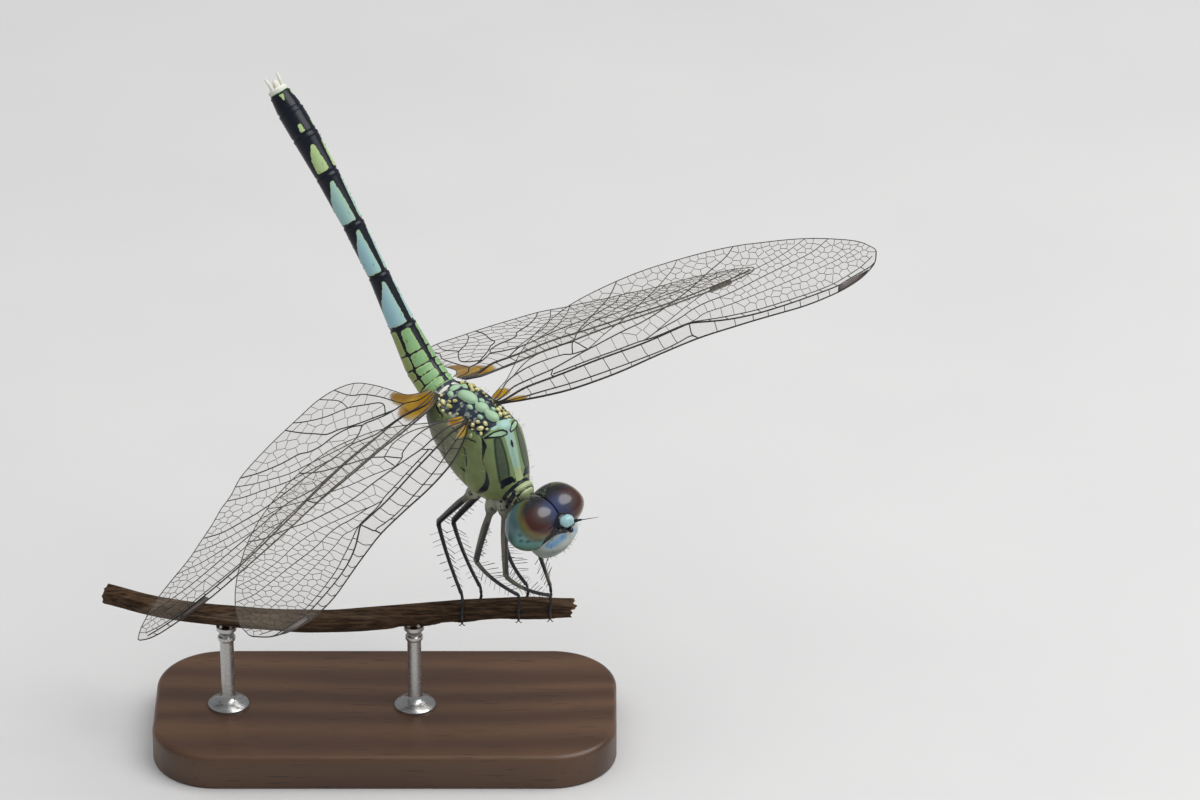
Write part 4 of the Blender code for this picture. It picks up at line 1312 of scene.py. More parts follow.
size = {0: given["Thickness"], 1: given["Thickness"], 2: kept_at(spines, "reach")}
size = grow(spines, "CombineXYZ", size).outputs[0]
planted = {"Points": spots, "Instance": one.outputs[0], "Rotation": spin, "Scale": size}
planted = grow(spines, "GeometryNodeInstanceOnPoints", planted).outputs[0]
end_growth(spines, planted, black_shell)

# The inner and the outer row on a tibia: how many spines, and the longest one.
SHIN_SPINES = ((10, 0.74), (8, 0.55))
THIGH_SPINES = 14
dice = np.random.default_rng(11)
roots, aims, reaches = [], [], []
for hip, knee, ankle, outward, thigh, shin in leg_paths:
    along_shin = unit(ankle - knee)
    sideways = unit(np.cross(along_shin, outward))
    inner_way = unit(-outward + 0.35 * sideways)
    outer_way = unit(outward * 0.5 - 0.9 * sideways)
    for row, (away, (count, longest)) in enumerate(zip((inner_way, outer_way), SHIN_SPINES)):
        for k in range(count):
            part = 0.1 + 0.82 * (k + 0.5 * row + dice.uniform(-0.15, 0.15)) / count
            spot = shin[int(np.clip(part, 0, 1) * (SHIN_RINGS - 1))]
            lean = unit(away + 0.42 * along_shin + dice.normal(size=3) * 0.06)
            length = longest * (0.55 + 0.45 * math.sin(math.pi * min(1.0, 0.15 + part)))
            roots.append(spot + 0.09 * lean)
            aims.append(lean)
            reaches.append(length * dice.uniform(0.85, 1.1))
    along_thigh = unit(knee - hip)
    for k in range(THIGH_SPINES):
        part = 0.35 + 0.6 * k / THIGH_SPINES
        spot = thigh[int(part * (THIGH_RINGS - 1))]
        lean = unit(-outward * 0.9 + (k % 2 - 0.5) * sideways + 0.5 * along_thigh)
        roots.append(spot + 0.17 * lean)
        aims.append(lean)
        reaches.append(0.3 * dice.uniform(0.7, 1.2))
host = host_mesh(np.array(roots) * MM, aim=np.array(aims), reach=np.array(reaches) * MM)
grown("leg_spines", host, spines, "leg_black", Thickness=0.0135 * MM, Bend=3.0, Seed=4)


# The wings: a clear pleated film stretched on a net of black veins, with a thick dark
# cell near the tip and an amber patch at the root. Long veins are laid out one by one; the
# small veins between them are the edges of cells grown round scattered seeds.

# A vein is its thickness, then knots of a part of the wing's length and the
# millimetres behind its axis. A ladder is two veins and the parts where they are
# joined, with a skew.
FORE_COSTA = (
    (-0.022, 0.55), (0, 0.5), (0.03, 0.25), (0.06, 0.03), (0.1, -0.17), (0.16, -0.4),
    (0.22, -0.45), (0.3, -0.36), (0.4, -0.15), (0.5, 0.0), (0.6, -0.12), (0.7, -0.32),
    (0.77, -0.44), (0.83, -0.42), (0.88, -0.28), (0.93, 0.1), (0.965, 0.6), (0.985, 1.1),
    (1.0, 1.85),
)
FORE_TRAIL = (
    (-0.022, 1.3), (0, 1.7), (0.03, 2.2), (0.06, 3.0), (0.1, 4.1), (0.17, 5.3),
    (0.25, 6.15), (0.32, 6.6), (0.4, 6.8), (0.5, 6.85), (0.6, 6.65), (0.7, 6.15),
    (0.75, 5.8), (0.8, 5.4), (0.85, 4.9), (0.9, 4.3), (0.95, 3.55), (0.98, 2.9), (1.0, 2.1),
)
FORE_VEINS = {
    "subcosta": (0.05, (-0.022, 0.75), (0, 0.62), (0.03, 0.5), (0.1, 0.42), (0.2, 0.2),
        (0.3, 0.12), (0.4, 0.15), (0.45, 0.32), (0.487, 0.5), (0.5, 0.02)),
    "radius": (0.072, (-0.022, 0.8), (0, 0.72), (0.05, 0.95), (0.1, 1.05), (0.2, 1.1),
        (0.3, 1.12), (0.4, 1.2), (0.47, 1.32), (0.5, 1.35), (0.53, 1.1), (0.57, 0.76),
        (0.62, 0.45), (0.68, 0.22), (0.75, 0.12), (0.82, 0.12), (0.87, 0.17), (0.9, 0.35),
        (0.955, 0.66), (0.98, 1.0)),
    "nodus": (0.055, (0.5, 0.0), (0.492, 0.6), (0.497, 1.35)),
    "sector": (0.05, (0.14, 1.42), (0.2, 1.44), (0.3, 1.47), (0.36, 1.52), (0.39, 1.42),
        (0.43, 1.38), (0.5, 1.45), (0.56, 1.2), (0.62, 0.95), (0.68, 0.68), (0.76, 0.52),
        (0.84, 0.55), (0.9, 0.8), (0.95, 1.15), (0.985, 1.6)),
    "arculus": (0.045, (0.14, 1.06), (0.135, 1.42), (0.145, 1.8)),
    "branch": (0.036, (0.5, 1.45), (0.54, 1.82), (0.6, 1.76), (0.68, 1.85), (0.78, 1.98),
        (0.88, 2.2), (0.95, 2.6), (0.975, 3.0)),
    "second": (0.045, (0.38, 1.48), (0.42, 1.85), (0.48, 2.15), (0.55, 2.55), (0.62, 2.68),
        (0.7, 3.0), (0.78, 3.25), (0.86, 3.6), (0.91, 4.15)),
    "third": (0.036, (0.42, 1.88), (0.48, 2.5), (0.56, 3.3), (0.64, 3.75), (0.72, 3.9),
        (0.8, 4.3), (0.86, 4.8)),
    "media": (0.05, (-0.022, 0.9), (0, 1.0), (0.04, 1.52), (0.1, 1.72), (0.145, 1.8),
        (0.2, 2.05), (0.25, 2.28), (0.35, 2.7), (0.4, 2.92), (0.46, 3.35), (0.53, 4.0),
        (0.6, 4.85), (0.66, 5.6), (0.69, 6.2)),
    "media_rear": (0.036, (0.245, 2.28), (0.3, 3.0), (0.38, 3.9), (0.46, 5.0), (0.52, 6.0),
        (0.55, 6.78)),
    "cubitus": (0.045, (-0.022, 1.0), (0, 1.35), (0.03, 2.05), (0.07, 2.42), (0.12, 2.6),
        (0.18, 2.58), (0.205, 2.35), (0.245, 2.28)),
    "triangle": (0.045, (0.205, 2.35), (0.222, 3.3), (0.245, 2.28)),
    "cubitus_rear": (0.045, (0.222, 3.3), (0.25, 4.1), (0.3, 4.9), (0.35, 5.7),
        (0.39, 6.78)),
    "anal": (0.036, (0.05, 2.3), (0.1, 3.1), (0.16, 3.45), (0.222, 3.3)),
}
FORE_LADDERS = (
    ("costa", "subcosta", (0.06, 0.1, 0.16, 0.215, 0.265, 0.32, 0.368, 0.43), 0.004),
    ("subcosta", "radius", (0.07, 0.13, 0.165, 0.22, 0.27, 0.32, 0.37, 0.415, 0.45),
        -0.004),
    ("costa", "radius", (0.55, 0.597, 0.642, 0.68, 0.722, 0.763, 0.81, 0.84, 0.97), 0.006),
    ("radius", "sector", (0.2, 0.26, 0.32, 0.45, 0.55, 0.59, 0.63, 0.67, 0.71, 0.75, 0.79,
        0.83, 0.87, 0.91, 0.95), -0.004),
)
FORE_CELLS = ((0, 0.85), (0.2, 0.86), (0.45, 0.7), (0.7, 0.53), (1, 0.43))

HIND_COSTA = (
    (-0.04, 0.15), (0, -0.3), (0.04, -0.42), (0.1, -0.42), (0.2, -0.3), (0.3, -0.22),
    (0.41, -0.12), (0.5, -0.2), (0.6, -0.24), (0.7, -0.28), (0.8, -0.2), (0.88, 0.05),
    (0.92, 0.22), (0.96, 0.5), (0.985, 0.85), (1.0, 1.3),
)
HIND_TRAIL = (
    (-0.04, 1.2), (-0.02, 1.5), (0, 2.2), (0.005, 3.4), (0.012, 5.0), (0.03, 6.4),
    (0.07, 7.2), (0.13, 7.55), (0.2, 7.5), (0.3, 7.35), (0.38, 7.1), (0.44, 6.75),
    (0.5, 6.05), (0.55, 5.7), (0.6, 5.15), (0.66, 4.6), (0.72, 4.1), (0.8, 3.65),
    (0.88, 3.1), (0.94, 2.45), (0.98, 1.9), (1.0, 1.5),
)
HIND_VEINS = {
    "subcosta": (0.05, (-0.04, 0.3), (0, -0.1), (0.05, -0.12), (0.1, -0.05), (0.2, 0.02),
        (0.3, 0.05), (0.38, 0.1), (0.41, 0.0)),
    "radius": (0.075, (-0.04, 0.4), (0, 0.15), (0.04, 0.45), (0.08, 0.75), (0.12, 0.87),
        (0.2, 0.92), (0.3, 0.9), (0.4, 0.8), (0.45, 0.65), (0.5, 0.5), (0.6, 0.3),
        (0.7, 0.24), (0.8, 0.28), (0.88, 0.5), (0.94, 0.78), (0.98, 1.1)),
    "nodus": (0.055, (0.41, -0.12), (0.412, 0.3), (0.42, 0.77)),
    "sector": (0.05, (0.14, 0.92), (0.2, 1.12), (0.28, 1.16), (0.36, 1.05), (0.45, 0.95),
        (0.55, 0.78), (0.66, 0.62), (0.78, 0.68), (0.86, 0.85), (0.93, 1.15), (0.975, 1.5)),
    "arculus": (0.045, (0.12, 0.87), (0.13, 1.1), (0.125, 1.35)),
    "second": (0.048, (0.3, 1.12), (0.35, 1.28), (0.4, 1.5), (0.47, 1.85), (0.6, 1.92),
        (0.7, 2.0), (0.8, 2.1), (0.88, 2.35), (0.93, 2.65)),
    "branch": (0.036, (0.5, 0.9), (0.56, 1.3), (0.68, 1.35), (0.8, 1.5), (0.9, 1.75),
        (0.965, 2.1)),
    "third": (0.036, (0.46, 1.85), (0.52, 2.4), (0.6, 2.95), (0.66, 3.6), (0.7, 4.22)),
    "fourth": (0.036, (0.56, 1.92), (0.64, 2.5), (0.72, 3.1), (0.78, 3.75)),
    "media": (0.05, (-0.04, 0.6), (0, 0.5), (0.04, 0.6), (0.08, 0.85), (0.12, 1.2),
        (0.15, 1.42), (0.18, 1.72), (0.21, 2.0), (0.25, 2.14), (0.3, 2.33), (0.4, 2.7),
        (0.5, 3.05), (0.55, 3.35), (0.61, 3.9), (0.65, 4.62)),
    "media_rear": (0.04, (0.28, 2.3), (0.33, 2.75), (0.38, 3.3), (0.43, 4.1), (0.48, 5.0),
        (0.52, 5.9)),
    "media_last": (0.036, (0.2, 2.1), (0.25, 2.7), (0.31, 3.3), (0.37, 4.0), (0.42, 5.0),
        (0.47, 6.35)),
    "cubitus": (0.048, (-0.04, 0.8), (0, 1.0), (0.03, 1.65), (0.06, 1.8), (0.09, 2.05),
        (0.115, 2.4), (0.14, 2.75), (0.17, 2.35), (0.21, 2.0)),
    "cubitus_rear": (0.048, (0.14, 2.75), (0.16, 3.4), (0.2, 3.8), (0.25, 3.95),
        (0.28, 4.3), (0.3, 4.8), (0.35, 5.2), (0.4, 5.95), (0.44, 6.75)),
    "anal": (0.048, (0.06, 1.8), (0.11, 2.6), (0.15, 3.35), (0.18, 3.95), (0.21, 4.4),
        (0.222, 5.2), (0.24, 6.3), (0.25, 7.45)),
    "anal_second": (0.04, (0.085, 2.0), (0.055, 3.1), (0.08, 4.2), (0.11, 5.0), (0.16, 5.8),
        (0.2, 6.7), (0.22, 7.5)),
    "anal_third": (0.036, (0.03, 1.65), (0.035, 3.0), (0.04, 4.0), (0.05, 5.0), (0.07, 5.8),
        (0.075, 7.25)),
    "loop": (0.036, (0.11, 5.0), (0.1, 6.2), (0.12, 7.5)),
}
HIND_LADDERS = (
    ("costa", "subcosta", (0.05, 0.1, 0.16, 0.21, 0.26, 0.31, 0.36), 0.003),
    ("subcosta", "radius", (0.09, 0.14, 0.19, 0.24, 0.29, 0.34, 0.39), -0.003),
    ("costa", "radius", (0.46, 0.5, 0.54, 0.585, 0.63, 0.675, 0.72, 0.76, 0.92, 0.96),
        0.005),
    ("radius", "sector", (0.2, 0.26, 0.32, 0.38, 0.45, 0.5, 0.55, 0.6, 0.65, 0.7, 0.75, 0.8,
        0.85, 0.9, 0.95), -0.003),
)
HIND_CELLS = ((0, 0.88), (0.2, 0.88), (0.42, 0.73), (0.7, 0.55), (1, 0.44))

# Sweep, rise and twist (left, right) are in degrees. The wing spot lies between two
# parts of the length. An amber patch is a part of the length, millimetres behind the
# axis, and its reach along and across.
WINGS = {
    "forewing": dict(
        length=24.4, hinge=(1.95, 1.25, 3.0), sweep=17.7, rise=15.3, twist=(24, 24),
        costa=FORE_COSTA, trail=FORE_TRAIL, veins=FORE_VEINS, ladders=FORE_LADDERS,
        cells=FORE_CELLS, stigma=(0.866, 0.953), seed=5,
        amber=((0.02, 0.4, 1.0, 0.3), (0.0, 1.35, 0.65, 0.4)),
    ),
    "hindwing": dict(
        length=22.9, hinge=(-1.2, 1.9, 1.7), sweep=7.0, rise=-8.7, twist=(45, 38),
        costa=HIND_COSTA, trail=HIND_TRAIL, veins=HIND_VEINS, ladders=HIND_LADDERS,
        cells=HIND_CELLS, stigma=(0.8, 0.885), seed=9,
        amber=((0.015, 0.7, 1.35, 1.1), (0.01, 2.2, 0.7, 1.1)),
    ),
}
LADDER_WIDTH, CELL_WIDTH, TRAIL_WIDTH = 0.033, 0.021, 0.036
CELL_TRIES = 9000


def chart(knots, length, count):
    """A smooth line through knots on the wing, in millimetres along and behind."""
    return spline([(part * length, behind) for part, behind in knots], count)


def crossings(start, end, walls):
    """Where the line from start to end meets wall segments, as parts of its length."""
    a, b = walls[:, 0], walls[:, 1]
    run, wall = end - start, b - a
    flat = run[0] * wall[:, 1] - run[1] * wall[:, 0]
    flat = np.where(np.abs(flat) < 1e-12, 1e-12, flat)
    gap = a - start
    t = (gap[:, 0] * wall[:, 1] - gap[:, 1] * wall[:, 0]) / flat
    u = (gap[:, 0] * run[1] - gap[:, 1] * run[0]) / flat
    return t[(u >= -1e-6) & (u <= 1 + 1e-6)]


def nearest_on(point, walls):
    """The place on wall segments that is nearest to a point, and how far off it is."""
    a, run = walls[:, 0], walls[:, 1] - walls[:, 0]
    t = np.clip(((point - a) * run).sum(1) / ((run**2).sum(1) + 1e-12), 0, 1)
    feet = a + t[:, None] * run
    away = np.linalg.norm(point - feet, axis=1)
    return feet[away.argmin()], away.min()


def grow_cells(wing, lines, border):
    """Small veins: the sides of cells round seeds scattered between the long veins."""
    dice = np.random.default_rng(wing["seed"])
    length = wing["length"]
    walls = np.concatenate([np.stack([line[:-1], line[1:]], 1) for line in lines])
    edge_walls = np.stack([border, np.roll(border, -1, axis=0)], 1)
    every = np.concatenate([walls, edge_walls])
    costa, trail = (chart(wing[name], length, 90) for name in ("costa", "trail"))
    by_name = wing["curves"]
    seeds = []

    def fits(point, spacing, clearance):
        x, y = point
        if not 0.05 < x < length - 0.05:
            return False
        if not np.interp(x, *costa.T) < y < np.interp(x, *trail.T):
            return False
        if y < np.interp(x, *by_name["radius"].T):
            return False
        if x > by_name["sector"][0, 0] and y < np.interp(x, *by_name["sector"].T):
            return False
        if seeds and np.linalg.norm(np.array(seeds) - point, axis=1).min() < spacing:
            return False
        return nearest_on(point, every)[1] > clearance

    def cell(point):
        size = np.interp(point[0] / length, *zip(*wing["cells"]))
        depth = np.interp(point[0], *trail.T) - point[1]
        return size * (0.82 + 0.18 * min(1.0, depth / 2.5))

    for line in [trail, *lines]:
        run = np.gradient(line, axis=0)
        run /= np.linalg.norm(run, axis=1)[:, None] + 1e-9
        across = np.stack([-run[:, 1], run[:, 0]], 1)
        for side in (-1, 1):
            for spot, aside in zip(line, across):
                size = cell(spot)
                point = spot + side * 0.46 * size * aside
                if fits(point, 0.8 * size, 0.36 * size):
                    seeds.append(point)
    for point in dice.uniform((0, -0.5), (length, 7.8), (CELL_TRIES, 2)):
        size = cell(point)
        if fits(point, 0.78 * size, 0.3 * size):
            seeds.append(point)
    seeds = np.array(seeds)
    ghosts = np.array([2 * nearest_on(point, edge_walls)[0] - point for point in seeds])
    far = np.array([(-9, -9), (length + 9, -9), (length + 9, 16), (-9, 16)], float)
    points = np.concatenate([seeds, ghosts, far])
    points += dice.normal(size=points.shape) * 1e-4
    flat = delaunay_2d_cdt([Vector(point) for point in points], [], [], 0, 1e-9)
    places, source = np.array([tuple(v) for v in flat[0]]), [ids[0] for ids in flat[3]]
    heart, sides = [], {}
    for number, (i, j, k) in enumerate(flat[2]):
        a, b, c = places[i], places[j], places[k]
        twice = 2 * ((b - a)[0] * (c - a)[1] - (b - a)[1] * (c - a)[0])
        bb, cc = (b - a) @ (b - a), (c - a) @ (c - a)
        heart.append(a + np.array(((c - a)[1] * bb - (b - a)[1] * cc,
                                   (b - a)[0] * cc - (c - a)[0] * bb)) / twice)
        for pair in ((i, j), (j, k), (k, i)):
            sides.setdefault(tuple(sorted(pair)), []).append(number)
    at_wall, inner = set(), []
    for (i, j), pair in sides.items():
        met = crossings(places[i], places[j], every)
        if max(source[i], source[j]) >= len(seeds) or ((met > 0) & (met < 1)).any():
            at_wall.update(pair)
        elif len(pair) == 2:
            inner.append((i, j, pair))
    segments = []
    for i, j, pair in inner:
        a, b = places[i], places[j]
        p, q = heart[pair[0]], heart[pair[1]]
        run = q - p
        if np.linalg.norm(run) < 0.05:
            continue
        middle = p + run * np.clip(((a + b) / 2 - p) @ run / (run @ run), 0.02, 0.98)
        ends = []
        for number, end in zip(pair, (p, q)):
            way = end - middle
            full = np.linalg.norm(way) + 1e-9
            met = crossings(middle, end, every)
            met = met[met > 1e-4]
            reach = met.min() if len(met) else 9.0
            most = 1 + (1.2 if number in at_wall else 0.0) / full
            ends.append(middle + way * (reach if reach < most else 1.0))
        if np.linalg.norm(ends[0] - ends[1]) > 0.1:
            segments.append(ends)
    return segments


def wing_net(wing):
    """All veins of a wing as lines on its chart, with their thickness."""
    length = wing["length"]
    costa, trail = (chart(wing[name], length, 150) for name in ("costa", "trail"))
    curves = {name: chart(knots, length, 60) for name, (_, *knots) in wing["veins"].items()}
    lines = list(curves.values())
    wing["curves"] = {**curves, "costa": costa}
    curves = wing["curves"]
    tubes = [
        (costa, np.interp(costa[:, 0], [0, length], [0.085, 0.05])),
        (trail, np.full(len(trail), TRAIL_WIDTH)),
        (np.stack([costa[-1], trail[-1]]), np.array([0.045, 0.04])),
    ]
    for name, (width, *_) in wing["veins"].items():
        line = curves[name]
        taper = np.interp(line[:, 0] / length, [0, 0.12, 0.5, 1], [1.35, 1.1, 0.95, 0.62])
        tubes.append((line, width * taper))
    for upper, lower, parts, skew in wing["ladders"]:
        for part in parts:
            top, foot = part * length, (part + skew) * length
            run = np.linspace(0, 1, 6)[:, None]
            start = np.array((top, np.interp(top, *curves[upper].T)))
            end = np.array((foot, np.interp(foot, *curves[lower].T)))
            tubes.append((start + (end - start) * run, np.full(6, LADDER_WIDTH)))
    for start, end in grow_cells(wing, lines, np.concatenate([costa, trail[::-1]])):
        count = 2 + int(np.linalg.norm(end - start) / 0.35)
        run = np.linspace(0, 1, count)[:, None]
        tubes.append((start + (end - start) * run, np.full(count, CELL_WIDTH)))
    return tubes, costa, trail


def pleated(spots, wing):
    """Height of the wing's film at places on its chart: its leading veins are folded
    into ridges and valleys, and it waves a little behind them."""
    x, y = spots[..., 0], spots[..., 1]
    front = np.interp(x, *wing["curves"]["costa"].T)
    back = np.interp(x, *wing["curves"]["radius"].T)
    t = (y - front) / np.maximum(back - front, 0.2)
    height = np.interp(t, [0, 0.5, 1], [0.1, -0.1, 0.1])
    behind = np.interp(y - back, [0, 0.5, 1.1, 2.0], [0.1, -0.09, 0.06, 0])
    height = np.where(t > 1, behind, height)
    height = height + 0.035 * np.sin(1.1 * x + 0.8 * y) * np.sin(1.7 * y)
    fade = np.minimum(1, np.minimum(x / 1.5, (wing["length"] - x) / 1.5))
    return height * np.clip(fade, 0, 1)


wing_film, tree, shader = new_material("wing_film", Roughness=0.12, IOR=1.56)
cloud = noise(tree, 1400.0)
amber = maths(tree, "ADD", kept(tree, "amber"), maths(tree, "MULTIPLY", cloud, 0.3))
amber = blend_range(tree, amber, 0.4, 0.95)
smoky = layer(tree, cloud, rgb(0.2, 0.17, 0.13), rgb(0.36, 0.32, 0.26))
patches = blend_range(tree, noise(tree, 900.0, Detail=3.0), 0.35, 0.65)
orange = layer(tree, patches, rgb(0.22, 0.1, 0.0015), rgb(0.34, 0.2, 0.003))
film_tone = layer(tree, amber, smoky, orange)
clear = blend_range(tree, amber, 0.0, 0.8, 0.085, 0.95)
feed(tree, shader, Base_Color=film_tone, Alpha=clear)

vein_shell = drifting(
    "vein_shell", 900.0, rgb(0.002, 0.002, 0.002), rgb(0.018, 0.013, 0.01), Roughness=0.35
)

stigma_shell, tree, shader = new_material("stigma_shell", Roughness=0.4)
drift = noise(tree, 2600.0, Detail=4.0)
centre_tone = layer(tree, drift, rgb(0.04, 0.022, 0.016), rgb(0.11, 0.07, 0.055))
rim = blend_range(tree, kept(tree, "middle"), 0.45, 0.95)
tone = layer(tree, rim, rgb(0.01, 0.008, 0.006), centre_tone)
feed(tree, shader, Base_Color=tone)

veins, given = new_growth("veins", ("Sides", "Int", 6), ("Thickness", "Float", 1.0))
lines = grow(veins, "GeometryNodeMeshToCurve", {0: given["Host"]}).outputs[0]
width = maths(veins, "MULTIPLY", kept_at(veins, "width"), given["Thickness"])
ring = {"Resolution": given["Sides"], "Radius": 1.0}
ring = grow(veins, "GeometryNodeCurvePrimitiveCircle", ring).outputs[0]
tube = {0: lines, 1: ring, "Scale": width, "Fill Caps": True}
tube = grow(veins, "GeometryNodeCurveToMesh", tube).outputs[0]
end_growth(veins, tube, vein_shell)

FILM_ALONG, FILM_ACROSS, FILM_HALF = 130, 56, 0.007
STIGMA_ALONG, STIGMA_ACROSS, STIGMA_HALF = 24, 9, 0.02


def two_sided(on_wing, grid, half):
    """Rings of points round a thin sheet on the wing, out on its top and back below."""
    rows = len(grid)
    top, under = (on_wing(grid, lift).reshape(rows, -1, 3) for lift in (half, -half))
    return np.concatenate([top, under[:, ::-1]], axis=1).reshape(-1, 3)


def doubled(field):
    """A field of a thin sheet's top, for both of its sides."""
    return np.concatenate([field, field[:, ::-1]], axis=1)


for kind, wing in WINGS.items():
    tubes, costa, trail = wing_net(wing)
    sweep_angle, lift_angle = math.radians(wing["sweep"]), math.radians(wing["rise"])
    for side, side_word, twist in ((1, "left", wing["twist"][0]), (-1, "right", wing["twist"][1])):
        name = f"{kind}_{side_word}"
        level_way = (math.sin(sweep_angle), side * math.cos(sweep_angle))
        span = np.append(np.array(level_way) * math.cos(lift_angle), math.sin(lift_angle))
        back = unit(np.array((-1.0, 0, 0)) + span * span[0])
        above = np.cross(span, back) * side
        turn = math.radians(twist)
        chord = math.cos(turn) * back - math.sin(turn) * above
        normal = np.cross(span, chord) * side
        hinge = np.array(wing["hinge"]) * (1, side, 1)

        def on_wing(spots, lift=0.0):
            height = (pleated(spots, wing) + lift)[..., None]
            flat = spots[..., :1] * span + spots[..., 1:] * chord + height * normal
            return in_room((hinge + flat).reshape(-1, 3))

        spots, widths, edges = [], [], []
        for line, width in tubes:
            first = sum(len(some) for some in spots)
            edges += [(first + i, first + i + 1) for i in range(len(line) - 1)]
            spots.append(line)
            widths.append(width)
        spots = np.concatenate(spots)
        widths = np.concatenate(widths) * MM
        host = host_mesh(on_wing(spots), edges=edges, width=widths)
        grown(f"{name}_veins", host, veins, "wing_membrane", Sides=6, Thickness=0.75)

        parts = np.linspace(costa[0, 0] / wing["length"], 1.0, FILM_ALONG)[:, None]
        x = parts * wing["length"]
        front = np.interp(x, *costa.T)
        rear = np.interp(x, *trail.T)
        across = np.linspace(0, 1, FILM_ACROSS)[None] ** 1.35
        y = front + (rear - front) * across
        grid = np.stack([x + 0 * y, y], -1)
        film = piece(
            f"{name}_film", two_sided(on_wing, grid, FILM_HALF),
            net(FILM_ALONG, 2 * FILM_ACROSS), [wing_film], "wing_membrane", name, smooth=70,
        )
        amber = np.zeros(grid.shape[:2])
        for part, behind, along_reach, across_reach in wing["amber"]:
            away = np.hypot(
                (x - part * wing["length"]) / along_reach, (y - behind) / across_reach
            )
            amber = np.maximum(amber, np.exp(-(away**2.6) * 0.8))
        mark(film, amber=doubled(amber))

        start, end = wing["stigma"]
        x = np.linspace(start, end, STIGMA_ALONG)[:, None] * wing["length"]
        front = np.interp(x, *costa.T) + 0.03
        rear = np.interp(x, *wing["curves"]["radius"].T) - 0.02
        across = np.linspace(0, 1, STIGMA_ACROSS)[None]
        slant = (across - 0.5) * 0.25
        grid = np.stack([x + slant, front + (rear - front) * across], -1)
        middle = np.sin(np.pi * np.linspace(0, 1, STIGMA_ALONG))[:, None] ** 0.3
        middle = np.sin(np.pi * across) ** 0.5 * middle
        stigma = piece(
            f"{name}_stigma", two_sided(on_wing, grid, STIGMA_HALF + 0.035 * middle),
            net(STIGMA_ALONG, 2 * STIGMA_ACROSS), [stigma_shell], "wing_membrane",
        )
        mark(stigma, middle=doubled(middle))


# Fine hairs: a short dark fuzz on the face, and sparse pale down on the thorax and the
# hips. They are planted over the shells, each leaning back along its shell.
down, given = new_growth(
    "down", ("Density", "Float", 1.0), ("Length", "Float", 0.3 * MM),
    ("Thickness", "Float", 0.008 * MM), ("Lean", "Vector", (0.0, 0.0, 0.0)),
    ("Seed", "Int", 1), ("Surface", "Material", None),
)
spread = maths(down, "MULTIPLY", kept_at(down, "hairy"), given["Density"])
spread = {0: given["Host"], "Density": spread, "Seed": given["Seed"]}
planted = grow(down, "GeometryNodeDistributePointsOnFaces", spread)
way = {0: planted.outputs["Normal"], 1: given["Lean"]}
way = grow(down, "VectorMath", way, operation="ADD").outputs[0]
jitter = {0: (-0.35, -0.35, -0.35), 1: (0.35, 0.35, 0.35), "Seed": given["Seed"]}
jitter = grow(down, "FunctionNodeRandomValue", jitter, data_type="FLOAT_VECTOR").outputs[0]
way = grow(down, "VectorMath", {0: way, 1: jitter}, operation="ADD").outputs[0]
aim = grow(down, "FunctionNodeAlignRotationToVector", {"Vector": way}, axis="Z").outputs[0]
one = grow(down, "GeometryNodeGroup", {"Sides": 3, "Bend": 6.0}, node_tree=bristle)
odds = grow(down, "FunctionNodeRandomValue", {2: 0.5, 3: 1.2, "Seed": given["Seed"]})
reach = maths(down, "MULTIPLY", odds.outputs[1], given["Length"])
size = {0: given["Thickness"], 1: given["Thickness"], 2: reach}
size = grow(down, "CombineXYZ", size).outputs[0]
planted = {"Points": planted.outputs[0], "Instance": one.outputs[0], "Rotation": aim}
planted["Scale"] = size
planted = grow(down, "GeometryNodeInstanceOnPoints", planted).outputs[0]
end_growth(down, planted, given["Surface"])

pale_hair = drifting(
    "pale_hair", 3000.0, rgb(0.3, 0.28, 0.2), rgb(0.6, 0.58, 0.48), Roughness=0.5
)
dark_hair = drifting(
    "dark_hair", 3000.0, rgb(0.012, 0.01, 0.009), rgb(0.06, 0.05, 0.04), Roughness=0.45
)

face_front = step(ahead + 0 * tall, 0.35, 0.8) * step(-np.abs(tall + 0.6), -1.6, -1.3)
flanks = step(round_back, 30, 60) * ~tail * (swell > -0.1)
flanks = flanks * step(6.0 - station_column, 0.0, 0.5)
tail_rings = tail * step(ring_part, 0.0, 0.1)[:, None] * everywhere

# A coat is its name, the shell and the field that it grows on, its material and slot,
# hairs per square millimetre, length, thickness, seed and lean.
COATS = (
    ("face_hairs", face, face_front, dark_hair, "leg_black", 8, 0.2, 0.0036, 3,
     (0.5, 0, -0.2)),
    ("thorax_down", body, flanks, pale_hair, "cream", 1.5, 0.34, 0.0036, 6,
     (-0.5, 0, 0.2)),
    ("tail_bristles", body, tail_rings, dark_hair, "leg_black", 1.6, 0.1, 0.005, 8,
     (-2.2, 0, 1.1)),
)
for name, shell_piece, hairy, surface, slot, density, length, thickness, seed, lean_way in COATS:
    host = shell_piece.data.copy()
    field = host.attributes.new("hairy", "FLOAT", "POINT")
    field.data.foreach_set("value", np.asarray(hairy, np.float32).ravel())
    grown(
        name, host, down, slot, Surface=surface, Density=density / MM**2, Seed=seed,
        Length=length * MM, Thickness=thickness * MM,
        Lean=tuple(INSECT_TURN @ Vector(lean_way)),
    )


# The stand: a satin walnut block with a rounded edge, and two thin brushed steel posts
# in collars, each topped by a small saddle that the twig is pinned into.
BASE_CORNER, BASE_EASE = 4.0, 0.4
CORNER_STEPS = 31
POST_STATIONS = {"left": -9.5, "right": 1.8}
POST_SIDES = 48
CRADLE_RADIUS = 0.76

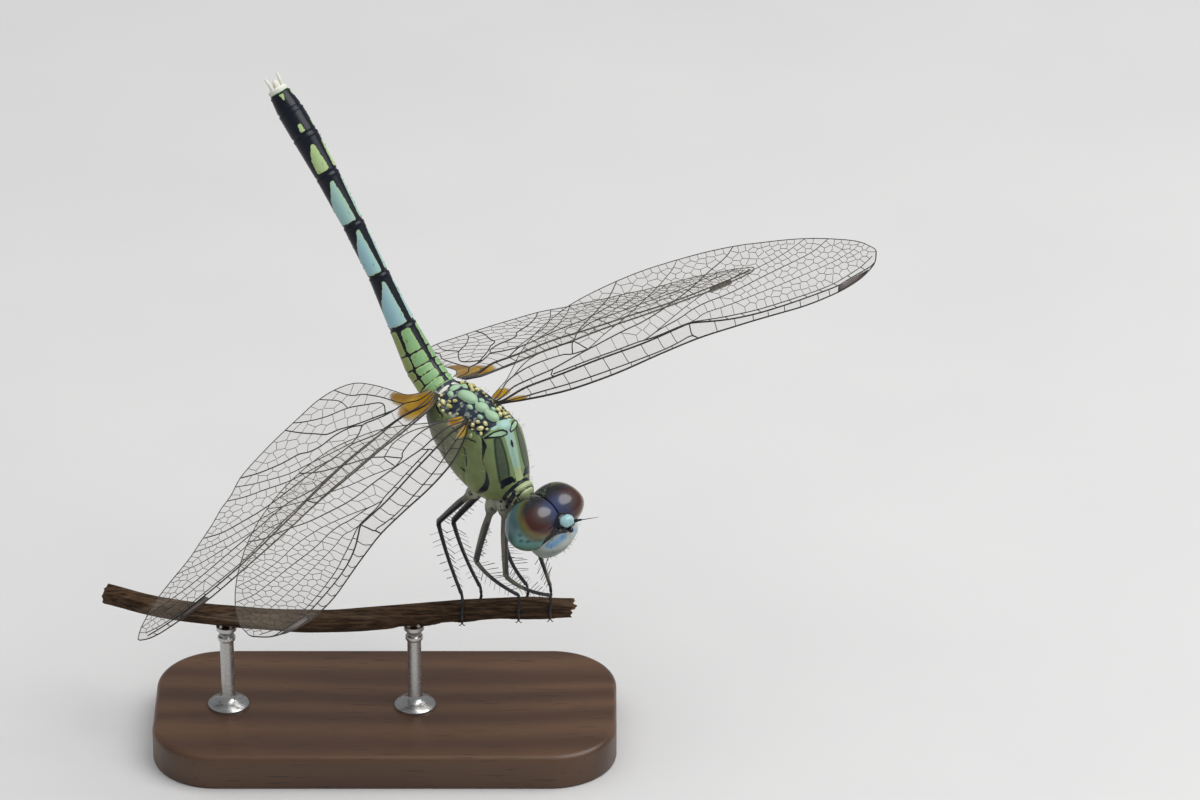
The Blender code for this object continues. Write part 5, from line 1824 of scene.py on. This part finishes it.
walnut, tree, shader = new_material("walnut", Roughness=0.38)
stretch = stretched(tree, 0.18, 1.0, 1.0)
sway = grow(tree, "TexNoise", {"Vector": stretch, "Scale": 160.0, "Detail": 3.0})
swayed = grow(tree, "VectorMath", {0: sway.outputs["Color"], "Scale": 0.004}, operation="SCALE")
swayed = grow(tree, "VectorMath", {0: stretch, 1: swayed.outputs[0]}, operation="ADD").outputs[0]
figure = {"Vector": swayed, "Scale": 110.0, "Distortion": 3.5, "Detail": 4.0}
figure = grow(tree, "TexWave", figure, bands_direction="Y").outputs["Fac"]
pores = noise(tree, 7000.0, Vector=stretched(tree, 0.06, 1.0, 1.0))
base_tone = layer(tree, figure, rgb(0.062, 0.028, 0.014), rgb(0.1, 0.05, 0.025))
pore_mask = maths(tree, "MULTIPLY", blend_range(tree, pores, 0.62, 0.72), 0.6)
base_tone = layer(tree, pore_mask, base_tone, rgb(0.02, 0.009, 0.005))
feed(tree, shader, Base_Color=base_tone, Normal=relief(tree, pores, 0.02, 0.3))
feed(tree, shader, Roughness=blend_range(tree, figure, 0.0, 1.0, 0.34, 0.45))

base_low, base_high = (np.array(corner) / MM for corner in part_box("stand_base"))
corner_turn = np.arange(4)[:, None] * 90 + np.linspace(0, 90, CORNER_STEPS)
corner_turn = np.radians(corner_turn).ravel()
corner_way = np.stack([np.cos(corner_turn), np.sin(corner_turn)], -1)
corner_at = np.repeat([(1, 1), (-1, 1), (-1, -1), (1, -1)], CORNER_STEPS, axis=0)
corner_at = corner_at * ((base_high - base_low)[:2] / 2 - BASE_CORNER)
ease_turn = np.linspace(0, math.pi / 2, 9)
slab_profile = [(0.15, 0.0), (0.04, 0.04), (0.0, 0.15)]
slab_profile += [
    (BASE_EASE * (1 - math.cos(a)), base_high[2] - BASE_EASE * (1 - math.sin(a)))
    for a in ease_turn
]
slab_profile.append((BASE_EASE + 0.06, base_high[2]))
slab = [
    np.column_stack([corner_at + (BASE_CORNER - inset) * corner_way, 0 * corner_turn + height])
    for inset, height in slab_profile
]
slab_middle = np.append((base_low + base_high)[:2] / 2, 0)
piece(
    "stand_slab", (np.concatenate(slab) + slab_middle) * MM,
    net(len(slab), len(corner_turn)), [walnut], "walnut", "stand_base", smooth=60,
)

steel, tree, shader = new_material("steel", Metallic=1.0)
brush = noise(tree, 2400.0, Vector=stretched(tree, 1.0, 1.0, 12.0), Detail=3.0)
tone = layer(tree, brush, rgb(0.42, 0.41, 0.4), rgb(0.62, 0.61, 0.59))
feed(tree, shader, Base_Color=tone, Roughness=blend_range(tree, brush, 0.2, 0.8, 0.22, 0.38))
feed(tree, shader, Normal=relief(tree, brush, 0.006, 0.4))

for side_word, station in POST_STATIONS.items():
    middle = twig_at(station)
    foot = base_high[2]
    under = middle[2] - TWIG_RADIUS
    profile = (
        (0.0, foot - 0.25), (1.15, foot - 0.25), (1.25, foot - 0.15), (1.25, foot + 0.16),
        (1.12, foot + 0.3), (0.78, foot + 0.42), (0.5, foot + 0.62), (0.42, foot + 0.8),
        (0.42, under - 1.0), (0.52, under - 0.92), (0.55, under - 0.8), (0.52, under - 0.68),
        (0.42, under - 0.6), (0.45, under - 0.4), (0.62, under - 0.22), (0.62, under + 0.02),
        (0.0, under + 0.12),
    )
    turn = np.arange(POST_SIDES) / POST_SIDES * 2 * np.pi
    circle = np.stack([np.cos(turn), np.sin(turn), 0 * turn], -1)
    centre = middle * (1, 1, 0)
    rings = [centre + max(radius, 0.01) * circle + (0, 0, height) for radius, height in profile]
    parts = [(np.concatenate(rings), net(len(rings), POST_SIDES))]
    arc = np.radians(np.linspace(-62, 62, 25))
    cradle = np.stack([0 * arc, np.sin(arc), -np.cos(arc)], -1) * CRADLE_RADIUS
    for shift in (-0.3, 0.3):
        parts.append(sweep(middle + cradle + (shift, 0, 0), np.full(len(arc), 0.1), 14))
    points, faces = gather(parts)
    piece(
        f"stand_post_{side_word}", points * MM, faces, [steel], "steel",
        f"stand_rod_{side_word}", smooth=35,
    )
